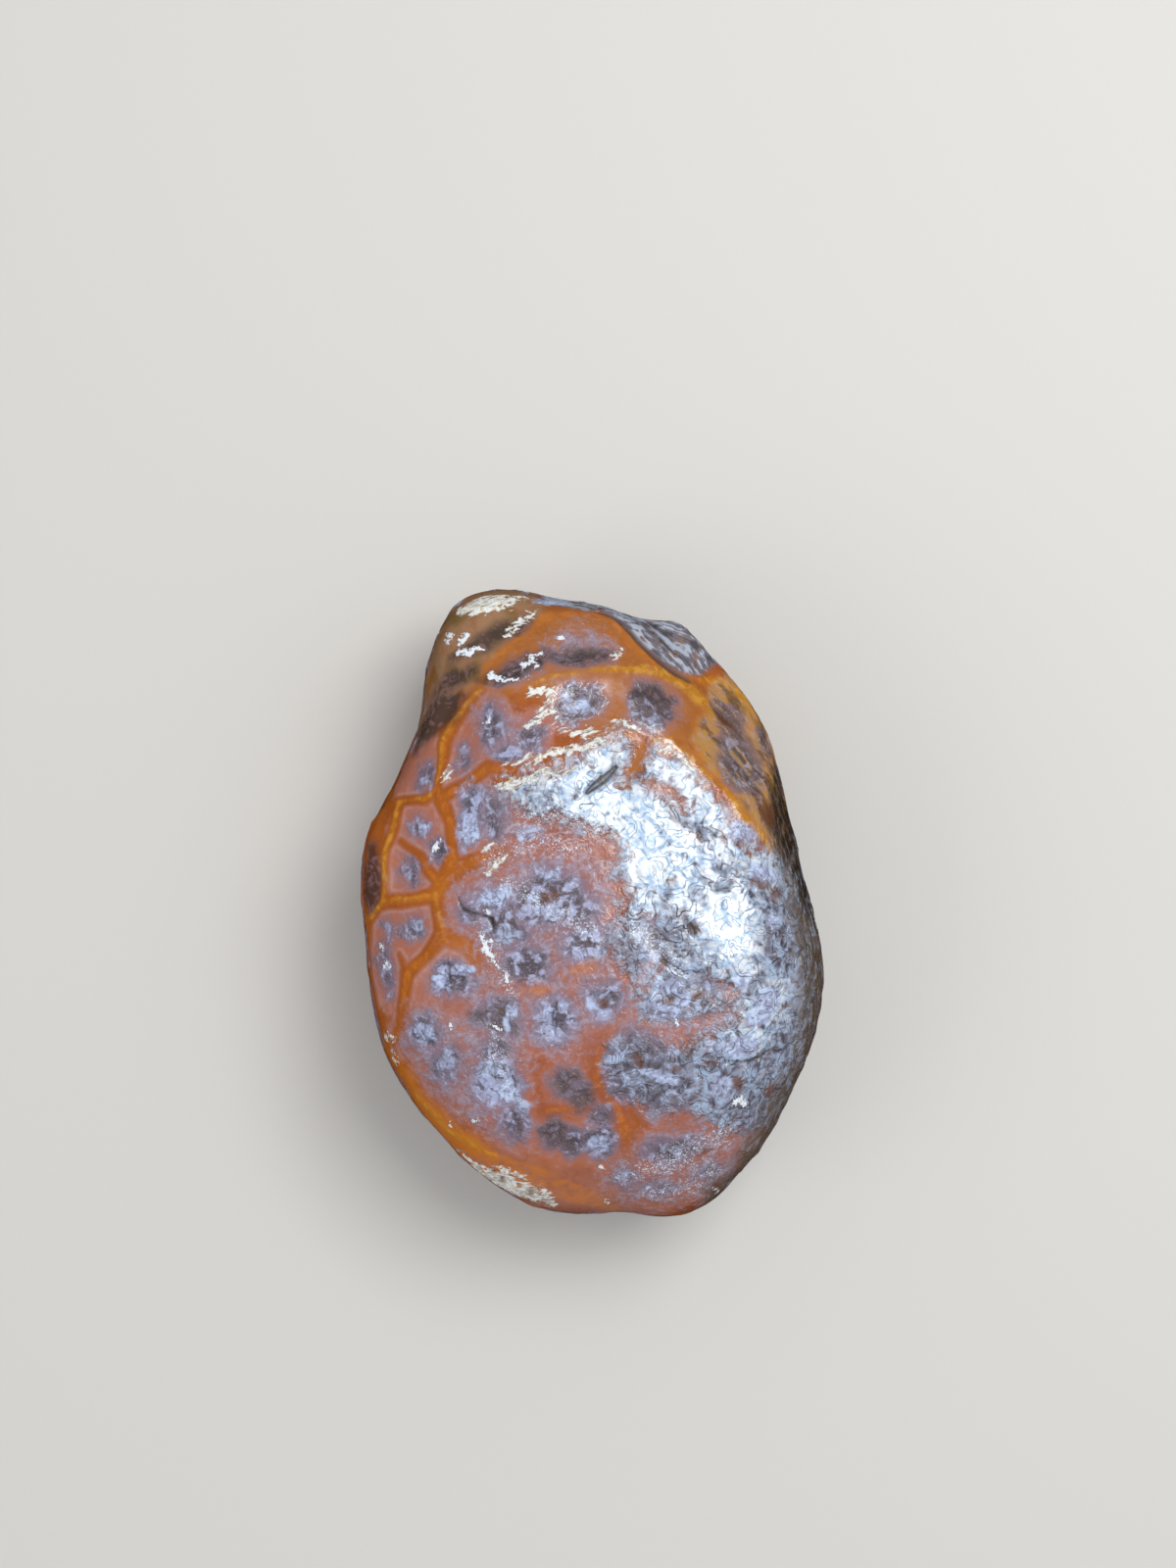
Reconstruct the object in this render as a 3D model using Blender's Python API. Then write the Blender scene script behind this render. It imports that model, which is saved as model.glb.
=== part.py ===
"""Water-worn agate pebble, one solid, lying on its back with its patterned face up.

+Y points to the narrow, ledged end and +Z out of the patterned face. The origin is the middle
of the footprint's box, on the resting plane. Lengths below are millimetres, scaled by MM.
"""

import math

import bmesh
import bpy
import numpy as np
from mathutils import Vector, noise

MM = 0.001

# Driving dimensions
LENGTH = 52.0
WIDTH = 38.2
THICKNESS = 25.0

# The outline seen from above, counter-clockwise from the right-hand side. It has a point where
# the edge changes its bend: the flat right side, the knob, the rounded lobe at the upper left,
# the neck under it, the shoulder on the left and the slight hollow in the lower end.
OUTLINE = (
    (18.9, -4.8),
    (17.1, 3.7),
    (15.7, 9.3),
    (14.6, 14.2),
    (13.7, 16.1),
    (10.7, 19.5),
    (9.2, 20.8),
    (7.9, 22.4),
    (6.8, 23.2),
    (5.0, 23.5),
    (0.8, 24.6),
    (-4.8, 25.5),
    (-9.0, 26.0),
    (-10.9, 25.3),
    (-12.8, 22.9),
    (-13.8, 19.6),
    (-14.3, 15.8),
    (-15.8, 11.4),
    (-18.0, 7.2),
    (-18.9, 4.9),
    (-18.95, -2.0),
    (-17.2, -12.2),
    (-13.3, -18.6),
    (-8.0, -23.7),
    (-2.7, -25.7),
    (2.2, -25.4),
    (6.8, -26.0),
    (9.5, -25.2),
    (12.5, -22.1),
    (16.0, -16.5),
    (18.5, -10.5),
)

# Section through the pebble: the widest contour's height, which dips towards DIP_ANGLE, the
# fullness of its two halves (2 is an ellipse), and how far the back would bulge below its flat.
RIM_HEIGHT = 10.8
RIM_DIP = 1.5
DIP_ANGLE = math.radians(35)
FRONT_FULLNESS = 2.35
BACK_FULLNESS = 2.4
BACK_BULGE = 0.55
CROWN_SPARE = 0.6  # what the worn planes take off the crown

# Worn planes of the patterned face: a point on the plane, the way it falls, its slope, and how
# softly it meets its neighbours. The gentle ones make up the face, the steep ones its sides.
WORN_PLANES = {
    "crown": ((0.0, -2.0, 24.9), (0.3, -1.0), 0.03, 2.5),
    "face_right": ((8.0, 2.0, 23.7), (0.8, 0.6), 0.24, 2.0),
    "face_upper": ((-1.0, 12.5, 23.6), (-0.1, 1.0), 0.4, 1.6),
    "face_left": ((-8.5, 0.0, 23.9), (-1.0, 0.1), 0.36, 2.5),
    "face_lower": ((-2.0, -12.5, 23.8), (-0.1, -1.0), 0.42, 2.5),
    "right": ((10.4, 9.3, 21.7), (0.73, 0.68), 1.5, 0.7),
    "top": ((-3.0, 18.3, 21.3), (0.05, 1.0), 0.85, 0.8),
    "upper_left": ((-10.4, 17.6, 19.6), (-0.9, 0.43), 0.9, 2.0),
    "lower_right": ((14.0, -14.0, 20.2), (0.85, -0.53), 1.2, 2.6),
    "bottom": ((0.0, -20.5, 19.8), (0.0, -1.0), 0.95, 3.0),
    "lower_left": ((-11.2, -16.6, 19.8), (-0.72, -0.69), 0.95, 3.0),
    "left": ((-15.0, -1.0, 20.4), (-1.0, 0.08), 0.95, 3.0),
}

# The front layer ends in a ledge along the top and down past the knob. Beyond it lies the
# shelf of the layer behind, whose height over the rim is SHELF_HEIGHT at the most.
LEDGE = ((-4.6, 24.9), (1.4, 24.4), (3.7, 22.7), (5.8, 20.6), (8.6, 18.1))
LEDGE_WIDTH = 1.2
LEDGE_FADE = 3.0
SHELF_HEIGHT = 5.6

# Lumps and hollows: centre line from one point to the other, reach, and height along the normal.
FRONT_RELIEF = {
    "knob": ((6.3, 21.9), (7.7, 20.6), 1.4, 0.7),
    "top_left_lobe": ((-10.0, 21.2), (-8.6, 22.4), 2.2, 0.45),
    "lobe_groove": ((-8.6, 21.3), (-4.9, 23.9), 1.2, -0.6),
    "neck": ((-13.0, 16.6), (-11.4, 14.4), 2.6, -0.5),
    "vein_ridge": ((-10.2, 17.9), (4.4, 18.9), 1.2, 0.35),
    "face_ridge": ((-8.2, 10.2), (2.9, 14.3), 1.2, 0.4),
    "right_ridge": ((5.0, 15.6), (14.0, 5.2), 1.2, 0.4),
    "hollow_under_ridge": ((1.0, 9.6), (2.6, 11.4), 1.3, -0.5),
    "left_shoulder": ((-17.8, 6.6), (-17.2, 3.2), 1.6, 0.4),
    "lower_hollow": ((1.0, -24.4), (3.4, -24.4), 1.4, -0.25),
}

# Hollowed eyes of the pattern that are wide enough to be felt: centre and radius.
EYES = (
    ((-2.9, 0.8), 2.9),
    ((-9.2, -1.4), 2.2),
    ((-11.8, -6.1), 2.0),
    ((-7.8, -9.9), 2.1),
    ((-7.9, -14.8), 2.1),
    ((-3.1, -10.0), 1.7),
    ((0.2, -8.1), 1.5),
    ((6.0, -8.1), 1.9),
    ((4.1, -13.5), 3.0),
    ((-1.6, -15.3), 1.6),
    ((-2.3, -19.5), 1.6),
    ((5.2, 16.2), 1.7),
    ((-1.2, 16.6), 1.7),
    ((-10.0, 7.6), 2.0),
    ((12.2, 11.0), 1.9),
)
EYE_DEPTH = 0.2
EYE_SLOPE = (1.2, 0.3)  # shares of the radius between which an eye deepens
FACE_FADE = (-0.1, 0.35)  # upward part of the normal over which the front's relief sets in

# The hidden back: broad shallow hollows, as (x, y), radius and depth.
BACK_HOLLOWS = (
    ((11.5, 13.0), 4.2, 0.9),
    ((-12.5, -9.0), 4.6, 0.8),
    ((10.5, -17.0), 4.0, 0.7),
    ((-9.0, 18.5), 3.6, 0.7),
)
HOLLOW_FADE = (0.1, 0.5)  # rises from the rim to the back over which the hollows set in

# Unevenness all over: spacing and height, broad and fine
UNEVEN_STEP = 8.5
UNEVEN_HEIGHT = 0.45
FINE_STEP = 2.9
FINE_HEIGHT = 0.12
NOISE_OFFSET = (31.7, 8.4, 53.2)

CUBE_CELLS = 28  # squares along each edge of the cube that becomes the pebble
FRONT_SHIFT = 0.3  # radians by which the mesh is drawn towards the front, where the detail is
CALM_ANGLE = 0.45  # the outline's bends fade out inwards, over this angle either way
CALM_SAMPLES = 9
CREASE_EASING = 0.5  # how far each point moves to the middle of its neighbours


def clear_scene():
    for obj in list(bpy.data.objects):
        bpy.data.objects.remove(obj, do_unlink=True)


def smoothstep(low, high, value):
    t = np.clip((value - low) / (high - low), 0.0, 1.0)
    return t * t * (3.0 - 2.0 * t)


def smooth_min(a, b, reach):
    """The lower of two surfaces, rounded over reach where they meet."""
    h = np.clip(0.5 + 0.5 * (b - a) / reach, 0.0, 1.0)
    return b + (a - b) * h - reach * h * (1.0 - h)


def outline_radius(angle):
    """Distance from the middle to the outline, by a periodic cubic through OUTLINE's points."""
    points = np.array(OUTLINE)
    known = np.unwrap(np.arctan2(points[:, 1], points[:, 0]))
    radius = np.hypot(points[:, 0], points[:, 1])
    turn = 2.0 * math.pi
    known = np.concatenate((known[-2:] - turn, known, known[:3] + turn))
    radius = np.concatenate((radius[-2:], radius, radius[:3]))
    slope = np.gradient(radius, known)
    angle = known[1] + np.mod(angle - known[1], turn)
    i = np.clip(np.searchsorted(known, angle, side="right") - 1, 0, len(known) - 2)
    gap = known[i + 1] - known[i]
    t = (angle - known[i]) / gap
    return (
        (2 * t**3 - 3 * t**2 + 1) * radius[i]
        + (t**3 - 2 * t**2 + t) * gap * slope[i]
        + (3 * t**2 - 2 * t**3) * radius[i + 1]
        + (t**3 - t**2) * gap * slope[i + 1]
    )


def distance_to_line(x, y, start, end):
    """Distance in plan from each point to the line between start and end."""
    run = np.subtract(end, start)
    t = np.clip(((x - start[0]) * run[0] + (y - start[1]) * run[1]) / (run @ run), 0.0, 1.0)
    return np.hypot(x - start[0] - t * run[0], y - start[1] - t * run[1])


def beyond_ledge(x, y):
    """Share of the step down that is done: 0 on the front layer, 1 on the shelf behind it."""
    nearest = np.full(len(x), np.inf)
    share = np.zeros(len(x))
    lengths = [math.dist(*ends) for ends in zip(LEDGE, LEDGE[1:])]
    before = 0.0
    for start, end, length in zip(LEDGE, LEDGE[1:], lengths):
        run = np.subtract(end, start) / length
        along = before + (x - start[0]) * run[0] + (y - start[1]) * run[1]
        beyond = (y - start[1]) * run[0] - (x - start[0]) * run[1]
        near = smoothstep(-LEDGE_FADE, LEDGE_FADE, along)
        near *= smoothstep(sum(lengths) + LEDGE_FADE, sum(lengths) - LEDGE_FADE, along)
        apart = distance_to_line(x, y, start, end)
        share = np.where(apart < nearest, near * smoothstep(0.0, LEDGE_WIDTH, beyond), share)
        nearest = np.minimum(apart, nearest)
        before += length
    return share


def front_height(x, y, rise, rim):
    """Height of the patterned face: a crown that rounds off to the rim, cut by worn planes."""
    height = rim + rise * (THICKNESS + CROWN_SPARE - rim)
    for point, way, slope, edge_round in WORN_PLANES.values():
        plane = point[2] - slope * ((x - point[0]) * way[0] + (y - point[1]) * way[1])
        height = smooth_min(height, plane, edge_round)
    shelf = np.minimum(rim + SHELF_HEIGHT * rise, height)
    return np.maximum(height + (shelf - height) * beyond_ledge(x, y), rim)


def back_height(x, y, rise, rim):
    """Height of the back, which bulges a little past the resting plane before it is cut flat."""
    height = rim - rise * (rim + BACK_BULGE)
    for centre, radius, depth in BACK_HOLLOWS:
        apart = np.hypot(x - centre[0], y - centre[1]) / radius
        height = height + depth * np.exp(-(apart**2)) * smoothstep(*HOLLOW_FADE, rise)
    return height


def body_points(directions):
    """Moves points of a unit sphere to the pebble's main form, a superellipse over its outline."""
    across = np.hypot(directions[:, 0], directions[:, 1])
    up = directions[:, 2]
    fullness = np.where(up >= 0.0, FRONT_FULLNESS, BACK_FULLNESS)
    size = (across**fullness + np.abs(up) ** fullness) ** (1.0 / fullness)
    share, rise = across / size, np.abs(up) / size
    angle = np.arctan2(directions[:, 1] * LENGTH, directions[:, 0] * WIDTH)
    turns = np.linspace(-CALM_ANGLE, CALM_ANGLE, CALM_SAMPLES)
    calm = np.mean([outline_radius(angle + turn) for turn in turns], axis=0)
    reach = share * (calm + (outline_radius(angle) - calm) * share**2)
    x, y = reach * np.cos(angle), reach * np.sin(angle)
    rim = RIM_HEIGHT - RIM_DIP * np.cos(angle - DIP_ANGLE)
    front = front_height(x, y, rise, rim)
    back = back_height(x, y, rise, rim)
    return np.column_stack((x, y, np.where(up >= 0.0, front, back)))


def relief(points, normals):
    """Height to add along each normal: lumps, hollows, eyes and the stone's unevenness."""
    x, y = points[:, 0], points[:, 1]
    faces_up = smoothstep(*FACE_FADE, normals[:, 2])
    height = np.zeros(len(points))
    for start, end, reach, rise in FRONT_RELIEF.values():
        apart = distance_to_line(x, y, start, end) / reach
        height += rise * np.exp(-(apart**2)) * faces_up
    for centre, radius in EYES:
        apart = np.hypot(x - centre[0], y - centre[1]) / radius
        height -= EYE_DEPTH * smoothstep(*EYE_SLOPE, apart) * faces_up
    offset = Vector(NOISE_OFFSET)
    for i, point in enumerate(points):
        broad = noise.noise(Vector(point) / UNEVEN_STEP + offset)
        fine = noise.noise(Vector(point) / FINE_STEP + offset)
        height[i] += UNEVEN_HEIGHT * broad + FINE_HEIGHT * fine
    return height


def sphere_cage():
    """A cube cut into squares and blown up into a sphere whose squares are nearly even."""
    cage = bmesh.new()
    bmesh.ops.create_cube(cage, size=2.0)
    bmesh.ops.subdivide_edges(
        cage, edges=list(cage.edges), cuts=CUBE_CELLS - 1, use_grid_fill=True
    )
    for vertex in cage.verts:
        way = Vector([math.tan(c * math.pi / 4.0) for c in vertex.co]).normalized()
        polar = math.acos(max(-1.0, min(1.0, way.z)))
        polar -= FRONT_SHIFT * math.sin(polar)
        flat = way.xy.normalized() * math.sin(polar) if way.xy.length > 0.0 else way.xy
        vertex.co = Vector((flat.x, flat.y, math.cos(polar)))
    return cage


def make_agate(collection):
    cage = sphere_cage()
    directions = np.array([vertex.co for vertex in cage.verts])
    points = body_points(directions)
    for vertex, point in zip(cage.verts, points):
        vertex.co = Vector(point)
    bmesh.ops.smooth_vert(
        cage, verts=cage.verts, factor=CREASE_EASING, use_axis_x=True, use_axis_y=True, use_axis_z=True
    )
    cage.normal_update()
    points = np.array([vertex.co for vertex in cage.verts])
    normals = np.array([vertex.normal for vertex in cage.verts])
    points += normals * relief(points, normals)[:, None]
    for vertex, point in zip(cage.verts, points):
        vertex.co = Vector(point)
    cut_flat_back(cage)
    fit_to_size(cage)

    mesh = bpy.data.meshes.new("agate")
    cage.to_mesh(mesh)
    cage.free()
    mesh.shade_smooth()
    mesh.materials.append(make_agate_material())
    agate = bpy.data.objects.new("agate", mesh)
    collection.objects.link(agate)
    return agate


def cut_flat_back(cage):
    """Cuts off what lies under the resting plane and closes the cut with one flat face."""
    cut = bmesh.ops.bisect_plane(
        cage,
        geom=list(cage.verts) + list(cage.edges) + list(cage.faces),
        plane_co=(0.0, 0.0, 0.0),
        plane_no=(0.0, 0.0, -1.0),
        clear_outer=True,
    )
    rim = [item for item in cut["geom_cut"] if isinstance(item, bmesh.types.BMEdge)]
    bmesh.ops.edgeloop_fill(cage, edges=rim)
    bmesh.ops.recalc_face_normals(cage, faces=list(cage.faces))


def fit_to_size(cage):
    """Centres the footprint's box and brings the pebble to its driving dimensions, in metres."""
    places = np.array([vertex.co for vertex in cage.verts])
    low, high = places.min(axis=0), places.max(axis=0)
    middle = np.array(((low[0] + high[0]) / 2.0, (low[1] + high[1]) / 2.0, 0.0))
    scale = np.array((WIDTH, LENGTH, THICKNESS)) / (high - low) * MM
    for vertex, place in zip(cage.verts, (places - middle) * scale):
        vertex.co = Vector(place)


def make_agate_material():
    material = bpy.data.materials.new("agate")
    material.use_nodes = True
    shader = material.node_tree.nodes["Principled BSDF"]
    shader.inputs["Base Color"].default_value = (0.42, 0.16, 0.07, 1.0)
    shader.inputs["Roughness"].default_value = 0.28
    shader.inputs["Metallic"].default_value = 0.0
    return material


def main():
    clear_scene()
    collection = bpy.data.collections.new("agate")
    bpy.context.scene.collection.children.link(collection)
    make_agate(collection)


main()
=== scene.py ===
"""Looks of a water-worn agate pebble: its fine surface, web, eyes and druse, light and camera.

Lengths are millimetres unless a name says otherwise, and are scaled by MM. The pattern of the
face is laid out on the plane of the stone's widest contour, as it is seen from straight above
through the camera: a place (u, v) there is carried up to the surface along the line of sight.
"""

import math

import bmesh
import bpy
import numpy as np
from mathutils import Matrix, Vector, noise
from mathutils.bvhtree import BVHTree


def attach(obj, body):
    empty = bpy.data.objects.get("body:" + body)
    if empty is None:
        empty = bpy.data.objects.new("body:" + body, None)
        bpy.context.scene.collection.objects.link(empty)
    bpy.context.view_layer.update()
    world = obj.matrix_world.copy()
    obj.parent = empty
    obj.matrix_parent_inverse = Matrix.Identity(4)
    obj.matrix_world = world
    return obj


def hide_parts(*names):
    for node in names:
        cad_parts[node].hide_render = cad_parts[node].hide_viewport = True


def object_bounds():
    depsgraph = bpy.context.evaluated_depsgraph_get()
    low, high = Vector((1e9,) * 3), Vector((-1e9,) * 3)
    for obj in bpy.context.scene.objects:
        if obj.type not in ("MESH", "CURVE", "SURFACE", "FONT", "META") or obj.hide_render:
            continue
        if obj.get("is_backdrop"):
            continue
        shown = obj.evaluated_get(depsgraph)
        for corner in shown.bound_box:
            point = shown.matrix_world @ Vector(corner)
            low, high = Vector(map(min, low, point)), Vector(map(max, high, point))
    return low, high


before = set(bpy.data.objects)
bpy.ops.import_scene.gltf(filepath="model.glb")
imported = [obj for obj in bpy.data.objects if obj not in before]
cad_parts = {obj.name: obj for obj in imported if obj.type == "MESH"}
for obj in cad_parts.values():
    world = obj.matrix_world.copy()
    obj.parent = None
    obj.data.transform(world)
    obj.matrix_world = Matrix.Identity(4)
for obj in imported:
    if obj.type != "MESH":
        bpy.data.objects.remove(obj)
cad_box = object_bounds()

MM = 0.001
FAR = 50.0  # stands for out of reach, as a distance to a line or zone

# View: straight down on the patterned face
CAMERA_PLACE = (-0.4, 9.8, 264.3)
CAMERA_LENS = 70.0
PATTERN_PLANE = 10.8  # height of the widest contour, where the places below are measured

# Fine surface
CELLS = 127  # squares along each edge of the cube that becomes the surface
FRONT_SHIFT = 0.25  # most by which its points are drawn towards the patterned face, in radians
HALF_SIZE = (19.0, 26.0, 13.0)  # of the ellipsoid whose points aim the rays
SMOOTHING_ROUNDS = 6
CAD_SUBDIVISION = 2
WELD = 0.002  # within which the solid's corners become one
PRESSED_BELOW = 0.05  # height under which points are laid onto the resting plane
FULL_RELIEF_AT = 0.6  # height above the resting plane

FLOOR_SIZE = 3.0  # in metres
FLOOR_DROP = 0.05  # how far the floor lies under the resting plane


def srgb(red, green, blue):
    """A screen colour, 0 to 255, as the linear colour that shading works with."""
    return np.array([((c / 255 + 0.055) / 1.055) ** 2.4 for c in (red, green, blue)])


# Palette
GOLD = srgb(184, 124, 32)
GOLD_LIGHT = srgb(208, 152, 58)
ORANGE = srgb(164, 90, 32)
ORANGE_DEEP = srgb(136, 60, 16)
ORANGE_LIGHT = srgb(192, 112, 38)
RED_ORANGE = srgb(156, 86, 50)
SALMON = srgb(176, 124, 110)
DUSTY = srgb(154, 104, 94)
OCHRE = srgb(184, 142, 90)
BROWN = srgb(152, 122, 92)
SMOKE = srgb(74, 64, 56)
SMOKE_DARK = srgb(62, 52, 50)
OLIVE = srgb(104, 84, 34)
STEEL = srgb(110, 112, 124)
PINK = srgb(174, 108, 86)
PINK_PALE = srgb(182, 138, 130)
MAUVE = srgb(142, 110, 116)
LAVENDER = srgb(132, 116, 134)
LAVENDER_PALE = srgb(166, 152, 172)
FROST = srgb(188, 166, 176)
EYE_DARK = srgb(86, 74, 80)
UMBER = srgb(118, 92, 80)
EYE_GREY = srgb(132, 122, 140)
EYE_BLUE = srgb(168, 174, 208)
EYE_SPARK = srgb(214, 224, 246)
DRUSE_DARK = srgb(96, 92, 106)
DRUSE_SHADE = srgb(76, 76, 90)
DRUSE_GREY = srgb(138, 144, 164)
DRUSE_PALE = srgb(164, 179, 205)
DRUSE_LIGHT = srgb(172, 198, 228)
# painted glare and sparkle: white that stands for light thrown back
DRUSE_GLARE = srgb(232, 240, 248)
DRUSE_STAIN = srgb(132, 104, 98)
# dark between grains, used as painted shade at the ledges' feet
CHINK_SHADE = srgb(60, 52, 56)
BLOB_GREY = srgb(152, 156, 184)
BLOB_BLUE = srgb(190, 206, 240)
FACET_DARK = srgb(58, 46, 36)
EARTH = srgb(104, 86, 66)
EMBER = srgb(164, 86, 44)
AMBER = srgb(200, 116, 26)
FIBRE_PALE = srgb(204, 176, 184)
FIBRE_DARK = srgb(122, 80, 76)
# the right edge's smoky brown and near-black: its own colour, with painted shade where it turns away
RIM_BROWN = srgb(102, 86, 68)
DRUSE_SPECK = srgb(96, 68, 50)
RIM_DARK = srgb(46, 37, 31)
CROWN = srgb(170, 108, 54)
CROWN_HALO = srgb(158, 112, 88)
WEB_BRIGHT = srgb(206, 122, 40)
SHELF_PALE = srgb(188, 198, 216)
SHELF_DARK = srgb(70, 72, 76)
VEIL_GREY = srgb(148, 134, 150)
FACET_GREY = srgb(122, 106, 102)
SPOT_BROWN = srgb(104, 62, 36)
CREAM = srgb(228, 229, 226)
CREAM_STAINED = srgb(204, 178, 138)
CREAM_SHADE = srgb(164, 160, 150)
# painted glint: white that stands for light thrown back by chipped quartz
GLINT_WHITE = srgb(232, 238, 246)
GAP = srgb(64, 55, 52)

# Eyes: centre u and v, half width, half height, turn in degrees, tone from 0 (smoky) to 1 (pale
# blue), and the width of the halo around it.
EYES = (
    # upper left
    (-13.9, 10.4, 0.7, 1.6, -8, 0.45, 1.3),
    (-10.6, 12.0, 0.7, 1.3, -15, 0.35, 0.9),
    (-8.5, 14.5, 0.9, 1.6, -5, 0.4, 0.9),
    (-5.2, 13.7, 1.1, 1.2, 0, 0.3, 0.8),
    (-7.1, 12.3, 1.2, 0.7, 10, 0.65, 0.7),
    (-10.3, 7.2, 1.3, 2.8, -5, 0.8, 1.0),
    (-8.3, 7.0, 1.0, 1.6, 0, 0.4, 0.5),
    # top
    (-1.2, 16.6, 1.9, 1.5, 0, 0.5, 0.7),
    (4.8, 16.2, 1.8, 1.9, 0, 0.25, 0.5),
    (-1.0, 20.5, 2.5, 0.7, 4, 0.2, 0.6),
    (-6.2, 19.2, 2.6, 0.65, 26, 0.1, 0.3),
    # left
    (-14.3, 6.2, 0.9, 0.8, 0, 0.5, 1.0),
    (-12.9, 4.3, 0.9, 1.1, 0, 0.35, 1.0),
    (-15.1, 2.5, 0.9, 1.4, 10, 0.3, 1.1),
    (-15.0, -2.2, 1.1, 1.0, 0, 0.5, 1.2),
    (-16.8, -2.3, 0.6, 0.9, 0, 0.5, 0.9),
    (-17.1, -5.4, 0.65, 2.5, 5, 0.5, 0.9),
    (-11.8, -6.3, 1.8, 1.7, 20, 0.6, 1.0),
    # middle
    (-8.4, 0.1, 1.6, 0.85, 12, 0.95, 0.9),
    (-10.4, -0.9, 0.9, 0.9, 0, 0.3, 0.9),
    (-7.4, -2.1, 2.1, 1.4, -25, 0.3, 0.7),
    (-5.5, -5.4, 1.8, 1.6, 0, 0.45, 0.7),
    (-3.4, 0.2, 3.5, 2.2, -8, 0.5, 0.8),
    (-0.7, -3.5, 1.8, 1.5, 0, 0.55, 0.7),
    (-8.0, -9.6, 1.8, 1.5, 0, 0.2, 0.9),
    (-8.2, -12.2, 1.2, 0.9, 0, 0.35, 0.7),
    (-3.2, -9.8, 1.5, 1.8, 0, 0.65, 0.8),
    (0.9, -8.2, 1.4, 1.5, 0, 0.5, 0.8),
    (6.2, -8.3, 1.7, 1.4, 0, 0.85, 0.7),
    (4.5, -3.6, 1.9, 1.6, 0, 0.35, 0.6),
    # lower left
    (-14.1, -10.8, 1.3, 1.3, 0, 0.55, 1.0),
    (-12.3, -13.5, 1.1, 1.3, 15, 0.55, 1.0),
    (-8.0, -15.1, 1.9, 2.0, 0, 0.85, 1.0),
    (-6.4, -18.4, 0.9, 1.6, 15, 0.45, 1.0),
    # lower middle
    (-2.3, -15.0, 1.1, 1.3, 20, 0.05, 0.7),
    (-1.0, -16.1, 1.1, 1.2, 0, 0.0, 0.7),
    (-3.1, -19.3, 1.1, 1.2, 10, 0.1, 0.8),
    (-1.6, -19.9, 1.2, 1.0, 0, 0.25, 0.9),
    (0.4, -19.8, 1.4, 1.2, 0, 0.55, 1.1),
    (0.9, -17.8, 1.0, 0.8, 0, 0.25, 0.7),
    (2.7, -22.9, 0.7, 0.5, 0, 0.5, 1.0),
    # lower right
    (3.5, -12.9, 2.8, 1.9, -5, 0.3, 0.8),
    (2.4, -15.3, 1.4, 1.0, 0, 0.4, 0.5),
    (6.5, -15.4, 2.1, 1.8, 0, 0.45, 0.7),
    (6.5, -20.6, 2.0, 0.9, 10, 0.4, 0.9),
    (8.3, -7.5, 1.6, 1.2, 0, 0.3, 0.5),
    (10.8, -15.2, 1.2, 1.2, 0, 0.45, 0.5),
    (14.1, -17.8, 1.1, 1.0, 0, 0.35, 0.6),
    (9.6, -22.6, 1.1, 0.3, 20, 0.4, 1.0),
    (5.4, -23.9, 1.1, 0.3, 5, 0.4, 1.0),
    # right facet
    (12.2, 11.4, 1.4, 2.6, 25, 0.3, 0.3),
    (11.2, 15.3, 1.3, 0.45, -40, 0.1, 0.3),
    (14.4, 13.2, 0.4, 0.9, 15, 0.1, 0.3),
    (6.2, 10.9, 0.9, 0.8, 0, 0.85, 0.3),
)

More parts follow.
